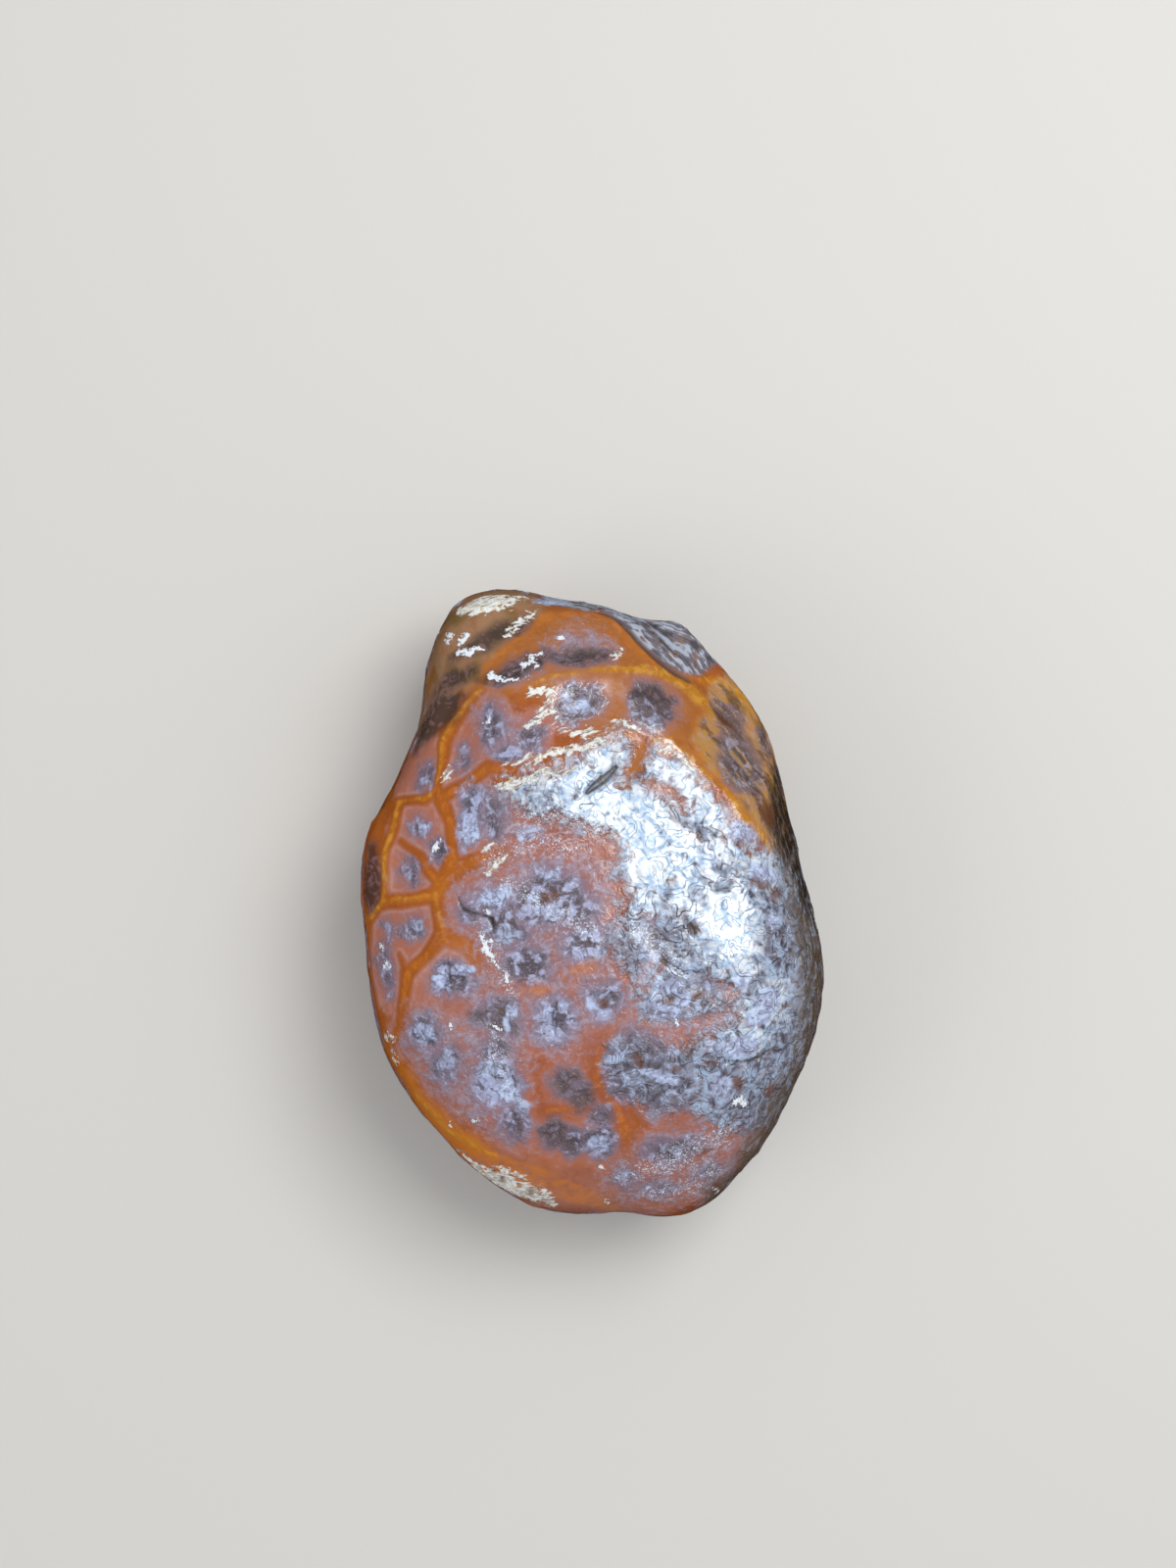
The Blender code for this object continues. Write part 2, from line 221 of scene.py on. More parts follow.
# Lines: points (u, v, full width). The orange web parts the eyes' halos.
WEB = (
    ((-9.4, 17.4, 0.9), (-11.2, 15.4, 1.1), (-12.25, 13.0, 1.2), (-12.8, 9.9, 0.8), (-12.6, 8.6, 0.9)),
    ((-12.8, 9.6, 0.8), (-13.9, 8.3, 0.8), (-16.0, 8.3, 1.0), (-16.5, 6.2, 0.9), (-17.1, 4.4, 0.8)),
    ((-17.1, 4.4, 0.8), (-17.2, 1.9, 0.7), (-17.3, -0.1, 0.8), (-18.6, -1.4, 1.0)),
    ((-12.6, 8.6, 1.2), (-11.9, 6.5, 1.1), (-11.7, 4.2, 1.2), (-11.7, 2.7, 2.2)),
    ((-12.6, 8.7, 1.0), (-10.4, 9.9, 1.1), (-8.6, 11.2, 1.1), (-6.5, 11.0, 1.0), (-2.0, 11.2, 0.8)),
    ((-11.5, 2.6, 1.6), (-9.9, 3.2, 1.5), (-8.0, 3.9, 1.2), (-7.2, 4.8, 0.5)),
    ((-11.7, 2.6, 1.6), (-12.5, 1.4, 1.4), (-13.0, 0.4, 1.6), (-15.2, 0.2, 1.1), (-17.3, -0.2, 1.2)),
    ((-15.9, 5.1, 0.5), (-14.3, 3.9, 0.7), (-13.7, 2.8, 0.9), (-12.6, 1.7, 1.1)),
    ((-13.0, 0.3, 1.1), (-12.4, -2.6, 1.6), (-13.9, -4.6, 1.1), (-15.4, -5.9, 1.2), (-15.8, -9.2, 1.0)),
    ((-15.8, -9.2, 0.8), (-16.2, -11.0, 1.0), (-17.2, -12.5, 1.2)),
    ((-12.4, -2.6, 1.4), (-10.6, -3.6, 1.4), (-9.4, -5.0, 1.3), (-8.8, -7.0, 0.8)),
    ((-16.1, -4.3, 0.3), (-15.5, -5.7, 0.7)),
    ((-19.0, -1.5, 1.2), (-18.9, -6.0, 1.2), (-18.0, -10.5, 1.4), (-16.4, -14.2, 2.0)),
    ((-16.4, -14.2, 2.0), (-13.4, -18.0, 3.0), (-9.5, -21.2, 2.8), (-4.5, -23.2, 2.6),
     (2.0, -25.2, 1.6)),
    ((-3.6, -17.4, 1.2), (-0.2, -17.0, 0.6), (0.3, -14.4, 1.1), (0.5, -11.5, 1.4), (3.0, -9.6, 1.0)),
    ((0.0, -14.4, 1.0), (2.0, -17.2, 1.2), (3.0, -19.8, 1.4), (2.6, -21.4, 0.7)),
    ((-11.0, 17.2, 1.4), (-9.4, 17.9, 1.0), (-8.9, 19.6, 1.1), (-6.6, 21.6, 1.2), (-4.3, 23.4, 1.3)),
    ((-4.3, 23.4, 1.3), (-1.0, 23.9, 1.1), (1.6, 23.4, 1.2), (3.4, 21.2, 1.4), (5.4, 19.6, 1.0)),
)

# Bright golden veins
VEINS = (
    ((-9.4, 17.4, 0.15), (-11.6, 15.0, 0.25), (-12.6, 12.6, 0.3), (-12.9, 9.8, 0.2)),
    ((-13.4, 8.8, 0.2), (-14.0, 8.4, 0.25), (-16.0, 8.3, 0.2), (-16.6, 6.2, 0.3), (-17.1, 4.4, 0.4)),
    ((-17.1, 4.4, 0.4), (-17.2, 1.9, 0.35), (-17.3, 0.0, 0.35), (-18.5, -1.3, 0.35)),
    ((-17.3, 0.0, 0.25), (-15.2, 0.3, 0.15), (-13.0, 0.4, 0.2), (-12.2, 1.5, 0.1)),
    ((-13.0, 0.4, 0.15), (-12.4, -2.4, 0.1)),
    ((-14.6, -16.1, 0.2), (-13.0, -17.8, 0.3), (-12.1, -19.0, 0.35), (-9.7, -20.1, 0.35),
     (-7.8, -21.0, 0.1)),
    ((-5.5, 17.9, 0.2), (-3.3, 18.8, 0.25), (-0.8, 19.2, 0.35), (1.8, 19.4, 0.5), (5.4, 19.2, 0.8)),
    ((5.4, 19.2, 0.8), (7.5, 18.2, 0.9), (9.1, 16.6, 0.7), (9.9, 15.3, 0.4)),
    ((4.9, 13.4, 0.3), (6.6, 13.7, 0.3), (7.7, 12.6, 0.35), (8.8, 11.2, 0.4), (10.0, 10.0, 0.45)),
    ((10.0, 10.0, 0.45), (11.4, 8.6, 0.6), (12.7, 7.0, 0.7), (13.6, 6.0, 0.6), (14.5, 4.4, 0.2)),
    ((8.8, 18.7, 0.3), (11.0, 18.3, 0.5), (13.0, 16.6, 0.6), (13.8, 15.4, 0.3)),
)

# Chalky cream rind; its streaks along the ridges over the druse, near the top of the face, are partly
# painted highlight
RIND = (
    ((-11.3, -20.7, 0.3), (-9.6, -22.3, 0.9), (-7.2, -23.3, 1.5), (-5.0, -24.3, 1.3),
     (-3.2, -25.0, 0.5)),
    ((-8.0, -22.1, 0.3), (-5.6, -22.8, 0.4)),
    ((-10.8, 24.3, 0.8), (-9.0, 24.8, 1.2), (-7.4, 24.9, 0.9), (-5.7, 25.3, 0.4)),
    ((-7.3, 22.2, 0.15), (-6.4, 23.1, 0.5), (-4.7, 23.9, 0.25)),
    ((-5.2, 17.4, 0.5), (-3.6, 17.5, 0.7), (-3.5, 16.2, 0.5), (-4.8, 15.1, 0.45), (-5.6, 14.6, 0.2)),
    ((-3.5, 16.2, 0.3), (-2.5, 15.3, 0.2)),
    ((-7.1, 11.3, 0.2), (-4.6, 11.9, 0.45), (-1.3, 12.7, 0.6), (0.6, 13.2, 0.6)),
    ((-7.5, 9.6, 0.7), (-5.8, 10.2, 0.6), (-2.6, 10.9, 0.5), (-1.3, 11.2, 0.3)),
    ((-2.6, 14.3, 0.3), (-0.8, 13.9, 0.6), (0.0, 14.4, 0.5)),
    ((1.9, 15.0, 0.2), (3.1, 14.6, 0.25), (4.0, 14.2, 0.1)),
    ((5.6, 12.8, 0.3), (6.6, 12.9, 0.35), (7.4, 11.9, 0.25), (8.4, 11.1, 0.2)),
    ((-11.7, 11.3, 0.15), (-11.9, 10.7, 0.3), (-12.4, 10.0, 0.2)),
    ((-8.8, 2.1, 0.2), (-8.0, 3.0, 0.3), (-7.1, 3.9, 0.2)),
    ((-8.8, 4.4, 0.5), (-8.3, 4.8, 0.4)),
    ((-16.9, -11.2, 0.5), (-16.6, -11.5, 0.3)),
    ((-16.5, -12.4, 0.15), (-16.3, -13.2, 0.15)),
    ((1.9, 20.6, 0.5), (2.4, 20.9, 0.3)),
)

# Painted glints: white highlights painted where chipped quartz throws the light back, on slightly raised
# chips
GLINTS = (
    ((-12.2, 21.6, 0.25), (-11.8, 22.1, 0.5)),
    ((-11.2, 21.4, 0.4), (-10.7, 21.9, 0.6)),
    ((-11.2, 20.6, 0.3), (-10.4, 20.5, 0.5), (-9.2, 20.9, 0.3)),
    ((-8.8, 18.4, 0.15), (-8.3, 18.8, 0.6), (-7.5, 18.6, 0.4), (-6.3, 18.6, 0.15)),
    ((-5.8, 19.8, 0.45), (-5.0, 20.1, 0.4), (-4.1, 20.6, 0.2)),
    ((-4.6, 19.7, 0.25), (-4.5, 19.8, 0.2)),
    ((-2.9, 21.8, 0.3), (-2.6, 22.0, 0.2)),
    ((-8.9, 14.9, 0.3), (-8.8, 15.1, 0.2)),
    ((-13.3, 4.4, 0.2), (-13.0, 4.8, 0.3), (-12.7, 5.0, 0.2)),
    ((-17.1, -4.9, 0.25), (-17.0, -5.5, 0.35)),
    ((-17.5, -3.7, 0.2), (-17.5, -4.0, 0.2)),
    ((-9.5, -2.6, 0.2), (-9.0, -3.6, 0.5), (-8.4, -4.6, 0.45)),
    ((-8.6, -3.2, 0.15), (-8.3, -4.0, 0.25)),
    ((-8.1, -5.0, 0.25), (-7.5, -6.0, 0.25), (-7.1, -6.8, 0.3)),
    ((-8.8, -0.9, 0.3), (-8.7, -1.2, 0.25)),
    ((-11.6, -10.2, 0.3), (-11.5, -10.4, 0.3)),
    ((-8.5, -10.6, 0.25), (-7.8, -10.7, 0.2)),
    ((-11.8, -18.1, 0.2), (-11.8, -18.4, 0.3)),
    ((-9.8, -18.2, 0.3), (-9.4, -18.2, 0.25)),
    ((0.5, -21.8, 0.2), (0.7, -22.0, 0.3)),
    ((1.1, -24.7, 0.2), (1.2, -24.9, 0.2)),
    ((6.9, -10.1, 0.2), (7.1, -10.4, 0.25)),
    ((11.5, -16.6, 0.3), (12.1, -16.2, 0.6), (12.6, -16.6, 0.4)),
    ((10.0, -23.8, 0.2), (10.5, -23.9, 0.2)),
)

# Bands of painted sparkle: fine white specks that stand for light glinting off small grains
SPARKLES = (
    ((-9.6, -2.2, 0.6), (-8.6, -4.0, 1.0), (-7.4, -6.4, 0.9), (-6.8, -7.4, 0.4)),
    ((-7.4, 1.6, 0.8), (-5.0, 0.6, 1.4), (-3.2, -0.8, 1.3), (-1.0, -2.0, 1.2), (0.6, -3.0, 0.8)),
    ((-8.8, 3.4, 0.6), (-6.4, 4.6, 1.2), (-4.0, 4.8, 1.2), (-1.4, 4.4, 1.0)),
    ((-5.6, 7.4, 1.6), (-2.0, 7.4, 1.8), (1.2, 6.4, 1.6)),
    ((2.6, -1.0, 1.2), (4.6, -3.4, 1.4), (7.0, -4.8, 1.2)),
    ((2.4, -22.8, 0.8), (5.4, -22.0, 1.8), (8.4, -20.8, 2.0), (11.0, -19.2, 1.2)),
    ((4.2, -24.2, 0.8), (7.4, -24.0, 1.0), (10.2, -22.4, 0.9)),
    ((-8.2, -10.8, 0.6), (-8.2, -13.0, 1.2), (-7.0, -15.8, 0.9)),
)

# Smoky, see-through bands and blots
SMOKES = (
    ((-15.4, 12.8, 1.2), (-13.8, 14.7, 2.2), (-12.2, 16.1, 2.5), (-10.9, 17.0, 1.0)),
    ((-9.2, 18.2, 0.5), (-7.0, 19.2, 1.2), (-5.0, 20.0, 1.1), (-3.6, 20.7, 0.5)),
    ((-2.6, 20.1, 0.3), (-0.6, 20.2, 0.8), (1.4, 20.6, 0.4)),
    ((-11.6, 20.2, 0.5), (-9.2, 21.4, 1.4), (-7.6, 22.4, 1.6), (-5.6, 23.2, 0.9)),
    ((-12.8, 17.2, 0.5), (-11.6, 18.6, 1.4), (-10.2, 19.2, 0.8)),
    ((-18.5, 4.4, 0.8), (-18.3, 2.0, 1.7), (-18.4, -0.6, 0.8)),
    ((-18.9, 7.0, 0.4), (-18.0, 9.0, 0.9), (-17.0, 11.0, 0.5)),
    ((9.9, 16.0, 0.2), (11.2, 14.8, 0.4), (12.2, 13.8, 0.2)),
    ((14.4, 14.8, 0.2), (14.8, 13.2, 0.5), (15.2, 11.8, 0.3)),
    ((13.6, 8.6, 0.2), (14.6, 7.0, 0.8), (15.6, 5.2, 1.4)),
    ((3.4, 17.3, 0.4), (4.9, 17.5, 0.8), (6.2, 16.7, 0.4)),
    ((5.6, 8.4, 0.3), (6.6, 7.2, 0.5), (7.3, 6.0, 0.3)),
)

# Grooves: the open slot, cracks through eyes, and dark chinks in the druse
GROOVES = (
    ((-0.4, 9.1, 0.5), (0.8, 10.1, 0.75), (2.0, 11.3, 0.35)),
    ((-12.2, -5.0, 0.12), (-12.0, -6.1, 0.2), (-12.4, -6.9, 0.15)),
    ((-12.0, -6.1, 0.2), (-10.7, -6.4, 0.12)),
    ((-3.1, -8.4, 0.1), (-3.4, -9.6, 0.18), (-3.2, -10.9, 0.12)),
    ((-11.1, 0.5, 0.12), (-10.7, -0.6, 0.18), (-9.4, -1.1, 0.2), (-8.5, -1.6, 0.3), (-8.3, -2.5, 0.12)),
    ((-14.8, -11.3, 0.2), (-13.3, -11.6, 0.12)),
    ((10.4, 1.1, 0.3), (11.4, 1.4, 0.25)),
    ((8.9, 5.8, 0.2), (9.2, 5.2, 0.2)),
    ((8.1, -1.9, 0.4), (8.5, -2.5, 0.3)),
    ((5.9, -4.7, 0.3), (7.9, -5.9, 0.2)),
    ((10.9, -13.2, 0.1), (12.2, -13.5, 0.2), (13.6, -13.1, 0.3), (14.3, -12.6, 0.25),
     (15.2, -12.0, 0.15)),
)
LEDGE = ((0.4, 24.15, 0.05), (1.9, 23.7, 0.3), (3.5, 21.9, 0.4), (5.6, 20.0, 0.35), (8.0, 18.4, 0.2))

# Pale blue blobs in the eyes and the druse: centre u and v, half width, half height, turn in degrees,
# and strength from 0 to 1. Those in the druse's highlight fields, and the one over the top edge, are
# partly painted highlight.
BLOBS = (
    (-12.8, -6.4, 0.6, 0.85, -30, 1.0),
    (-10.5, -5.8, 0.8, 0.5, 25, 1.0),
    (-8.2, 0.5, 1.4, 0.8, 20, 0.95),
    (-7.1, -2.7, 1.4, 0.9, 0, 0.55),
    (-4.9, 0.2, 0.9, 0.5, 0, 0.8),
    (-3.5, -0.9, 1.3, 0.5, -10, 0.8),
    (-3.3, 2.1, 1.2, 0.6, 0, 0.55),
    (-6.7, -9.2, 0.55, 0.95, -15, 1.0),
    (-7.2, -10.2, 0.35, 0.6, 20, 0.9),
    (-3.7, -9.6, 0.6, 1.0, 15, 0.9),
    (-2.6, -8.8, 0.5, 0.6, 0, 0.8),
    (-13.9, -10.8, 0.9, 0.9, 0, 0.7),
    (-12.2, -13.4, 0.8, 1.1, 0, 0.7),
    (-8.7, -14.0, 1.0, 0.75, 10, 1.0),
    (-7.2, -15.7, 1.3, 0.9, -35, 0.85),
    (-6.0, -17.0, 0.8, 0.9, 0, 0.65),
    (-10.2, 6.2, 0.8, 1.5, 0, 0.8),
    (-5.4, 5.8, 1.1, 0.7, 50, 0.8),
    (-14.0, 6.3, 0.5, 0.4, 0, 0.6),
    (-14.8, -1.9, 0.7, 0.6, 0, 0.6),
    (5.3, -8.3, 0.6, 0.9, 0, 0.9),
    (6.5, -7.0, 1.2, 0.6, 0, 0.9),
    (7.6, -8.3, 0.5, 0.9, 0, 0.9),
    (6.4, -9.4, 1.0, 0.5, 0, 0.9),
    (0.6, -8.4, 1.2, 1.2, 0, 0.5),
    (14.7, -1.7, 0.6, 0.5, 0, 1.0),
    (14.1, 2.3, 1.3, 0.9, -30, 1.0),
    (14.5, -8.2, 1.2, 1.0, 40, 1.0),
    (12.2, -6.5, 0.9, 0.6, 0, 0.9),
    (12.4, 5.8, 1.3, 1.0, 0, 0.9),
    (10.2, 7.1, 0.9, 0.5, -40, 0.9),
    (6.5, -12.2, 0.6, 0.6, 0, 1.0),
    (4.8, -14.4, 1.6, 0.5, -30, 0.85),
    (6.5, -14.9, 0.8, 0.5, 0, 0.85),
    (1.8, -12.9, 1.3, 0.5, 20, 0.8),
    (12.2, -12.1, 1.5, 1.0, 20, 0.9),
    (13.8, -9.7, 1.4, 0.8, 40, 1.0),
    (9.9, -11.9, 1.0, 0.6, 0, 0.75),
    (10.6, -15.1, 1.0, 0.8, 0, 0.65),
    (2.7, -22.9, 0.7, 0.5, 0, 0.45),
    (5.0, -24.0, 1.5, 0.4, 5, 0.3),
    (7.2, -20.5, 1.0, 0.4, 20, 0.5),
    (0.4, -20.0, 0.9, 0.7, 0, 0.8),
    (10.9, -20.1, 1.2, 0.4, 30, 0.4),
    (11.7, -18.6, 1.5, 0.5, 35, 0.4),
    (-1.0, 16.2, 0.9, 0.6, 0, 0.7),
    (5.0, 15.2, 0.9, 0.6, 0, 0.6),
    # over the top edge: a pale line of painted highlight
    (-3.6, 25.0, 1.9, 0.35, 0, 1.0),
)

# Brown spots: centre u and v, half width, half height, turn in degrees
SPOTS = (
    (-3.5, 0.4, 0.55, 0.45, 0),
    (6.4, -8.4, 0.6, 0.4, 20),
    (0.9, -8.4, 0.4, 0.35, 0),
    (3.8, -13.1, 0.4, 0.65, 10),
    (6.9, -13.8, 0.5, 0.3, 10),
    (11.9, -15.1, 0.4, 0.5, 50),
    (9.6, -13.2, 0.9, 0.25, 0),
    (14.7, -15.7, 0.6, 0.5, 45),
    (13.9, 1.5, 0.8, 0.4, -20),
    (15.2, 0.5, 0.35, 0.6, 0),
    (8.3, -2.1, 0.6, 0.35, -30),
    (6.1, -4.9, 0.35, 0.3, 0),
    (8.8, -7.7, 0.6, 0.35, 0),
    (9.0, 5.4, 0.3, 0.5, 20),
    (10.9, 5.3, 0.3, 0.6, 10),
    (6.5, 1.7, 0.35, 0.2, 0),
    (16.1, -8.6, 0.35, 0.2, 30),
    (9.3, -20.8, 0.8, 0.2, 28),
    (10.3, -23.8, 0.5, 0.35, 0),
    (10.9, 15.0, 1.3, 0.3, -42),
    (14.5, 7.4, 0.5, 1.2, 25),
    (-5.2, -24.0, 0.35, 0.3, 0),
    (-7.4, -22.9, 0.2, 0.2, 0),
    (-8.3, -22.4, 0.2, 0.2, 0),
    (-5.9, -19.2, 0.2, 0.2, 0),
)

# Orange blots where the web shows through: centre u and v, half width, half height, turn
EMBERS = (
    (7.3, -18.0, 1.5, 0.6, 5),
    (5.2, 9.4, 0.9, 0.4, -30),
    (4.1, 13.5, 0.8, 0.7, 20),
    (2.3, 1.0, 0.5, 0.7, 0),
    (0.8, 4.4, 1.2, 0.8, 20),
    (-6.2, -7.0, 1.4, 0.45, 15),
    (-11.2, -8.7, 1.4, 0.8, 0),
    (0.4, -11.2, 1.6, 0.8, 30),
)

# Zones, each an outline of points (u, v)
DRUSE_ZONE = (
    (-8.0, 9.6), (-5.5, 10.4), (-2.5, 11.2), (0.5, 13.2), (2.5, 14.2), (4.5, 13.2), (5.5, 12.6),
    (7.5, 11.4), (9.5, 9.3), (11.5, 7.0), (13.5, 4.6), (16.0, 4.5), (18.5, 0.0), (19.0, -8.0),
    (17.5, -14.0), (15.0, -18.5), (11.0, -19.2), (8.5, -17.8), (6.0, -17.6), (3.2, -16.4), (1.2, -14.2),
    (1.2, -11.8), (3.0, -10.4), (5.0, -9.9), (3.8, -8.0), (2.6, -6.0), (1.0, -4.0), (2.0, -1.5),
    (2.6, 0.5), (1.6, 2.5), (2.6, 4.4), (0.6, 6.0), (-2.4, 6.8), (-5.2, 7.2), (-7.0, 8.4),
)
FROST_ZONE = (
    (-10.2, 9.0), (-8.5, 8.8), (-1.5, 7.6), (3.2, 4.2), (2.2, 2.2), (2.8, 0.4), (1.0, -3.8),
    (4.8, -9.8), (1.0, -11.6), (-2.0, -13.0), (-5.0, -12.0), (-6.0, -19.0), (-9.0, -19.5),
    (-13.0, -16.5), (-16.0, -11.5), (-15.5, -9.0), (-12.5, -8.8), (-9.6, -5.5), (-10.3, -3.0),
    (-12.0, -1.0), (-11.0, 1.8), (-7.8, 3.8), (-9.5, 5.0),
)
TOP_FROST_ZONE = (
    (-3.8, 21.2), (-2.4, 22.6), (-0.6, 23.2), (0.8, 22.6), (1.6, 21.4), (1.2, 20.6), (-1.0, 20.8),
)
LOW_FROST_ZONE = (
    (1.5, -21.3), (4.0, -19.4), (8.0, -18.8), (13.0, -18.6), (15.5, -17.0), (14.5, -21.0),
    (10.0, -24.8), (3.0, -25.6), (1.0, -23.5),
)
CELL_FROST_ZONE = (
    (-9.6, 15.8), (-7.8, 16.2), (-6.4, 14.9), (-3.9, 14.4), (-4.2, 12.9), (-6.4, 11.9), (-8.6, 12.6),
)
FROST_ZONES = (FROST_ZONE, TOP_FROST_ZONE, LOW_FROST_ZONE, CELL_FROST_ZONE)
FACET_ZONE = (
    (9.3, 15.8), (8.2, 13.6), (9.3, 11.4), (11.2, 9.4), (13.2, 7.0), (14.6, 4.6), (16.2, 3.2),
    (18.5, 3.0), (19.5, 10.0), (16.0, 17.0), (12.5, 20.0), (9.5, 18.0),
)
LOBE_ZONE = (
    (-14.5, 12.8), (-11.0, 16.8), (-9.8, 17.6), (-9.2, 19.6), (-6.9, 21.6), (-4.4, 23.6), (-3.8, 24.6),
    (-6.0, 27.5), (-14.0, 27.5), (-17.0, 20.0),
)
SHELF_ZONE = (
    (-4.4, 24.8), (-1.6, 24.4), (0.6, 24.1), (2.0, 23.6), (3.7, 21.8), (5.9, 20.0), (8.2, 18.7),
    (10.0, 19.5), (12.0, 22.0), (6.0, 28.0), (-4.0, 28.0),
)
CROWN_ZONE = (
    (-10.0, 17.0), (-9.0, 20.0), (-4.0, 24.6), (2.0, 24.0), (5.4, 20.2), (8.6, 18.6), (9.6, 15.0),
    (10.4, 10.0), (6.6, 10.6), (4.4, 8.8), (1.8, 9.2), (0.8, 12.4), (-3.0, 16.0), (-6.0, 17.2),
)
LEFT_ZONE = (
    (-20.0, 14.0), (-9.0, 17.0), (-9.0, 9.0), (-7.6, 3.8), (-11.0, 1.8), (-11.0, -2.0), (-9.0, -6.0),
    (-14.0, -9.0), (-16.0, -14.0), (-20.0, -14.0),
)
BOTTOM_ZONE = (
    (-16.0, -15.0), (-9.0, -19.5), (0.0, -21.5), (6.0, -23.0), (6.0, -28.0), (-10.0, -28.0),
    (-20.0, -20.0),
)
RED_ZONE = (
    (-8.0, -6.0), (-4.0, -8.0), (3.0, -8.8), (5.5, -10.4), (1.6, -12.0), (1.8, -15.0), (7.0, -17.8),
    (11.0, -21.0), (6.0, -23.0), (-2.0, -21.5), (-7.0, -20.0), (-6.0, -12.0),
)

# Zones along lines: points (u, v, full width)
# Along the right-hand edge: smoky brown and near-black, the stone's colour with painted shade where the
# edge turns away
SMOKY_RIM = (
    (15.2, 9.0, 1.2), (16.4, 5.0, 2.6), (17.6, 0.0, 2.8), (18.7, -7.0, 2.8), (17.8, -13.2, 2.4),
    (14.9, -18.8, 2.8), (12.6, -22.4, 2.0), (10.6, -24.4, 2.4),
)
DARK_RIM = ((14.9, 11.0, 0.8), (15.6, 7.5, 1.6), (16.6, 4.5, 2.2), (17.6, 1.5, 1.6), (18.6, -2.0, 0.8))
AMBER_BANDS = (
    ((-16.2, -13.0, 0.6), (-14.2, -16.6, 1.8), (-11.6, -19.3, 2.0), (-8.6, -20.7, 1.2)),
    ((-1.3, -5.7, 0.6), (0.0, -5.4, 0.7)),
    ((-5.6, -7.4, 0.5), (-4.2, -7.2, 0.9)),
    ((8.2, 18.8, 0.5), (10.6, 18.1, 1.0), (12.7, 16.9, 1.3), (14.2, 15.4, 0.9)),
    ((8.8, 14.6, 0.7), (9.2, 12.4, 1.3), (10.4, 10.6, 0.9)),
    ((13.2, 13.6, 0.3), (14.6, 11.6, 0.8), (14.2, 9.2, 0.5)),
)
FIBRE_BAND = ((-8.5, 4.4, 1.5), (-5.0, 6.2, 3.2), (-1.5, 6.4, 3.2), (1.0, 4.0, 2.4))

# Gaps in the druse: orange ones at the top, salmon ones further down
ORANGE_GAPS = (
    ((1.6, 15.0, 0.6), (3.4, 13.9, 1.3), (4.3, 13.2, 1.5), (5.6, 13.6, 0.9), (7.2, 13.0, 0.9)),
    ((4.2, 13.0, 1.5), (3.6, 11.4, 1.3), (2.4, 9.8, 0.6)),
    ((4.8, 10.0, 0.3), (6.2, 9.3, 0.8), (7.8, 8.0, 0.3)),
)
SALMON_GAPS = (
    ((1.6, -10.4, 2.0), (6.0, -10.9, 2.1), (9.5, -10.2, 1.2), (11.5, -9.3, 0.4)),
    ((8.6, -7.0, 0.3), (10.0, -7.3, 0.8), (11.6, -7.8, 0.3)),
    ((4.8, -2.0, 0.7), (5.2, -4.4, 1.4), (4.0, -6.2, 1.2)),
    ((6.0, -17.8, 1.3), (8.6, -18.0, 1.1), (10.0, -18.8, 0.8)),
    ((4.6, -23.0, 1.2), (7.8, -22.4, 2.6), (11.0, -20.8, 2.2), (13.2, -19.2, 0.8)),
)

# Painted highlight: where the druse throws the light back it is painted pale and white, in two fields
# and their outliers, and a pale line of painted highlight runs along the shelf's upper edge
PAINTED_HIGHLIGHT_FIELDS = (
    ((-6.8, 9.4, 1.2), (-3.0, 10.0, 1.6), (0.4, 11.0, 2.8), (1.4, 13.0, 1.2)),
    ((-3.0, 8.6, 1.2), (0.2, 8.0, 2.6), (3.6, 6.6, 6.0), (5.6, 3.4, 6.4), (6.4, 1.6, 3.0)),
    ((5.4, 12.0, 1.2), (8.0, 9.6, 2.4), (10.4, 7.2, 1.6)),
    ((9.8, -0.4, 2.2), (11.2, -1.8, 5.0), (12.0, -4.0, 3.4)),
    ((12.4, 3.6, 1.0), (13.8, 2.8, 1.8), (15.2, 1.8, 0.8)),
    ((15.2, -7.6, 1.4), (14.0, -9.4, 2.4), (12.6, -11.8, 1.4)),
    ((-5.0, 25.6, 1.2), (-1.4, 25.2, 1.4), (1.4, 24.7, 1.4), (3.2, 23.6, 1.0)),
)

# The hidden sides and back carry on the same pattern, with eyes spread at random. The pairs
# are the least and most that is drawn.
SEED = 11
HIDDEN_EYES = 74
HIDDEN_SPACING = 4.6
HIDDEN_RADII = (0.5, 1.7)
HIDDEN_TONES = (0.05, 0.85)
HIDDEN_HALO = 1.6
STRAND_HALF_WIDTH = 0.45  # of the web between two of these eyes
FACING_FADE = (0.06, 0.3)  # cosine to the line of sight over which the face's pattern sets in

# How far and over what lengths the pattern bends
WARP_STEP = 2.6
WARP_REACH = 0.3
FINE_WARP_STEP = 0.9
FINE_WARP_REACH = 0.3

# Eyes: how much waves that go 2, 3 and 5 times round swell their outlines, and how the lists'
# widths are changed
EYE_WAVES = (0.1, 0.12, 0.07)
WIDER_HALO = 0.45  # added to each halo in the list
CORE_EASING = 0.12  # taken off each eye in the list, and off its halo's reach
FROST_WIDENING = 1.5  # what halos gain in the frosted zones
LEFT_WIDENING = 0.35  # and on the left, where eyes are smaller
LEFT_CORE_EASING = 0.22

# Size and reach of the drifts that change the zones on the back
STRAY_STEP = 9.0
STRAY_REACH = 11.0

# Half the width over which a zone's colour sets in
ZONE_EDGES = {
    "left": 1.5, "salmon_gap": 1.5, "crown": 1.0, "frost": 1.0, "red": 1.5, "bottom": 1.5,
    "facet": 0.5, "lobe": 0.4, "smoky": 0.8, "shelf": 0.25,
}

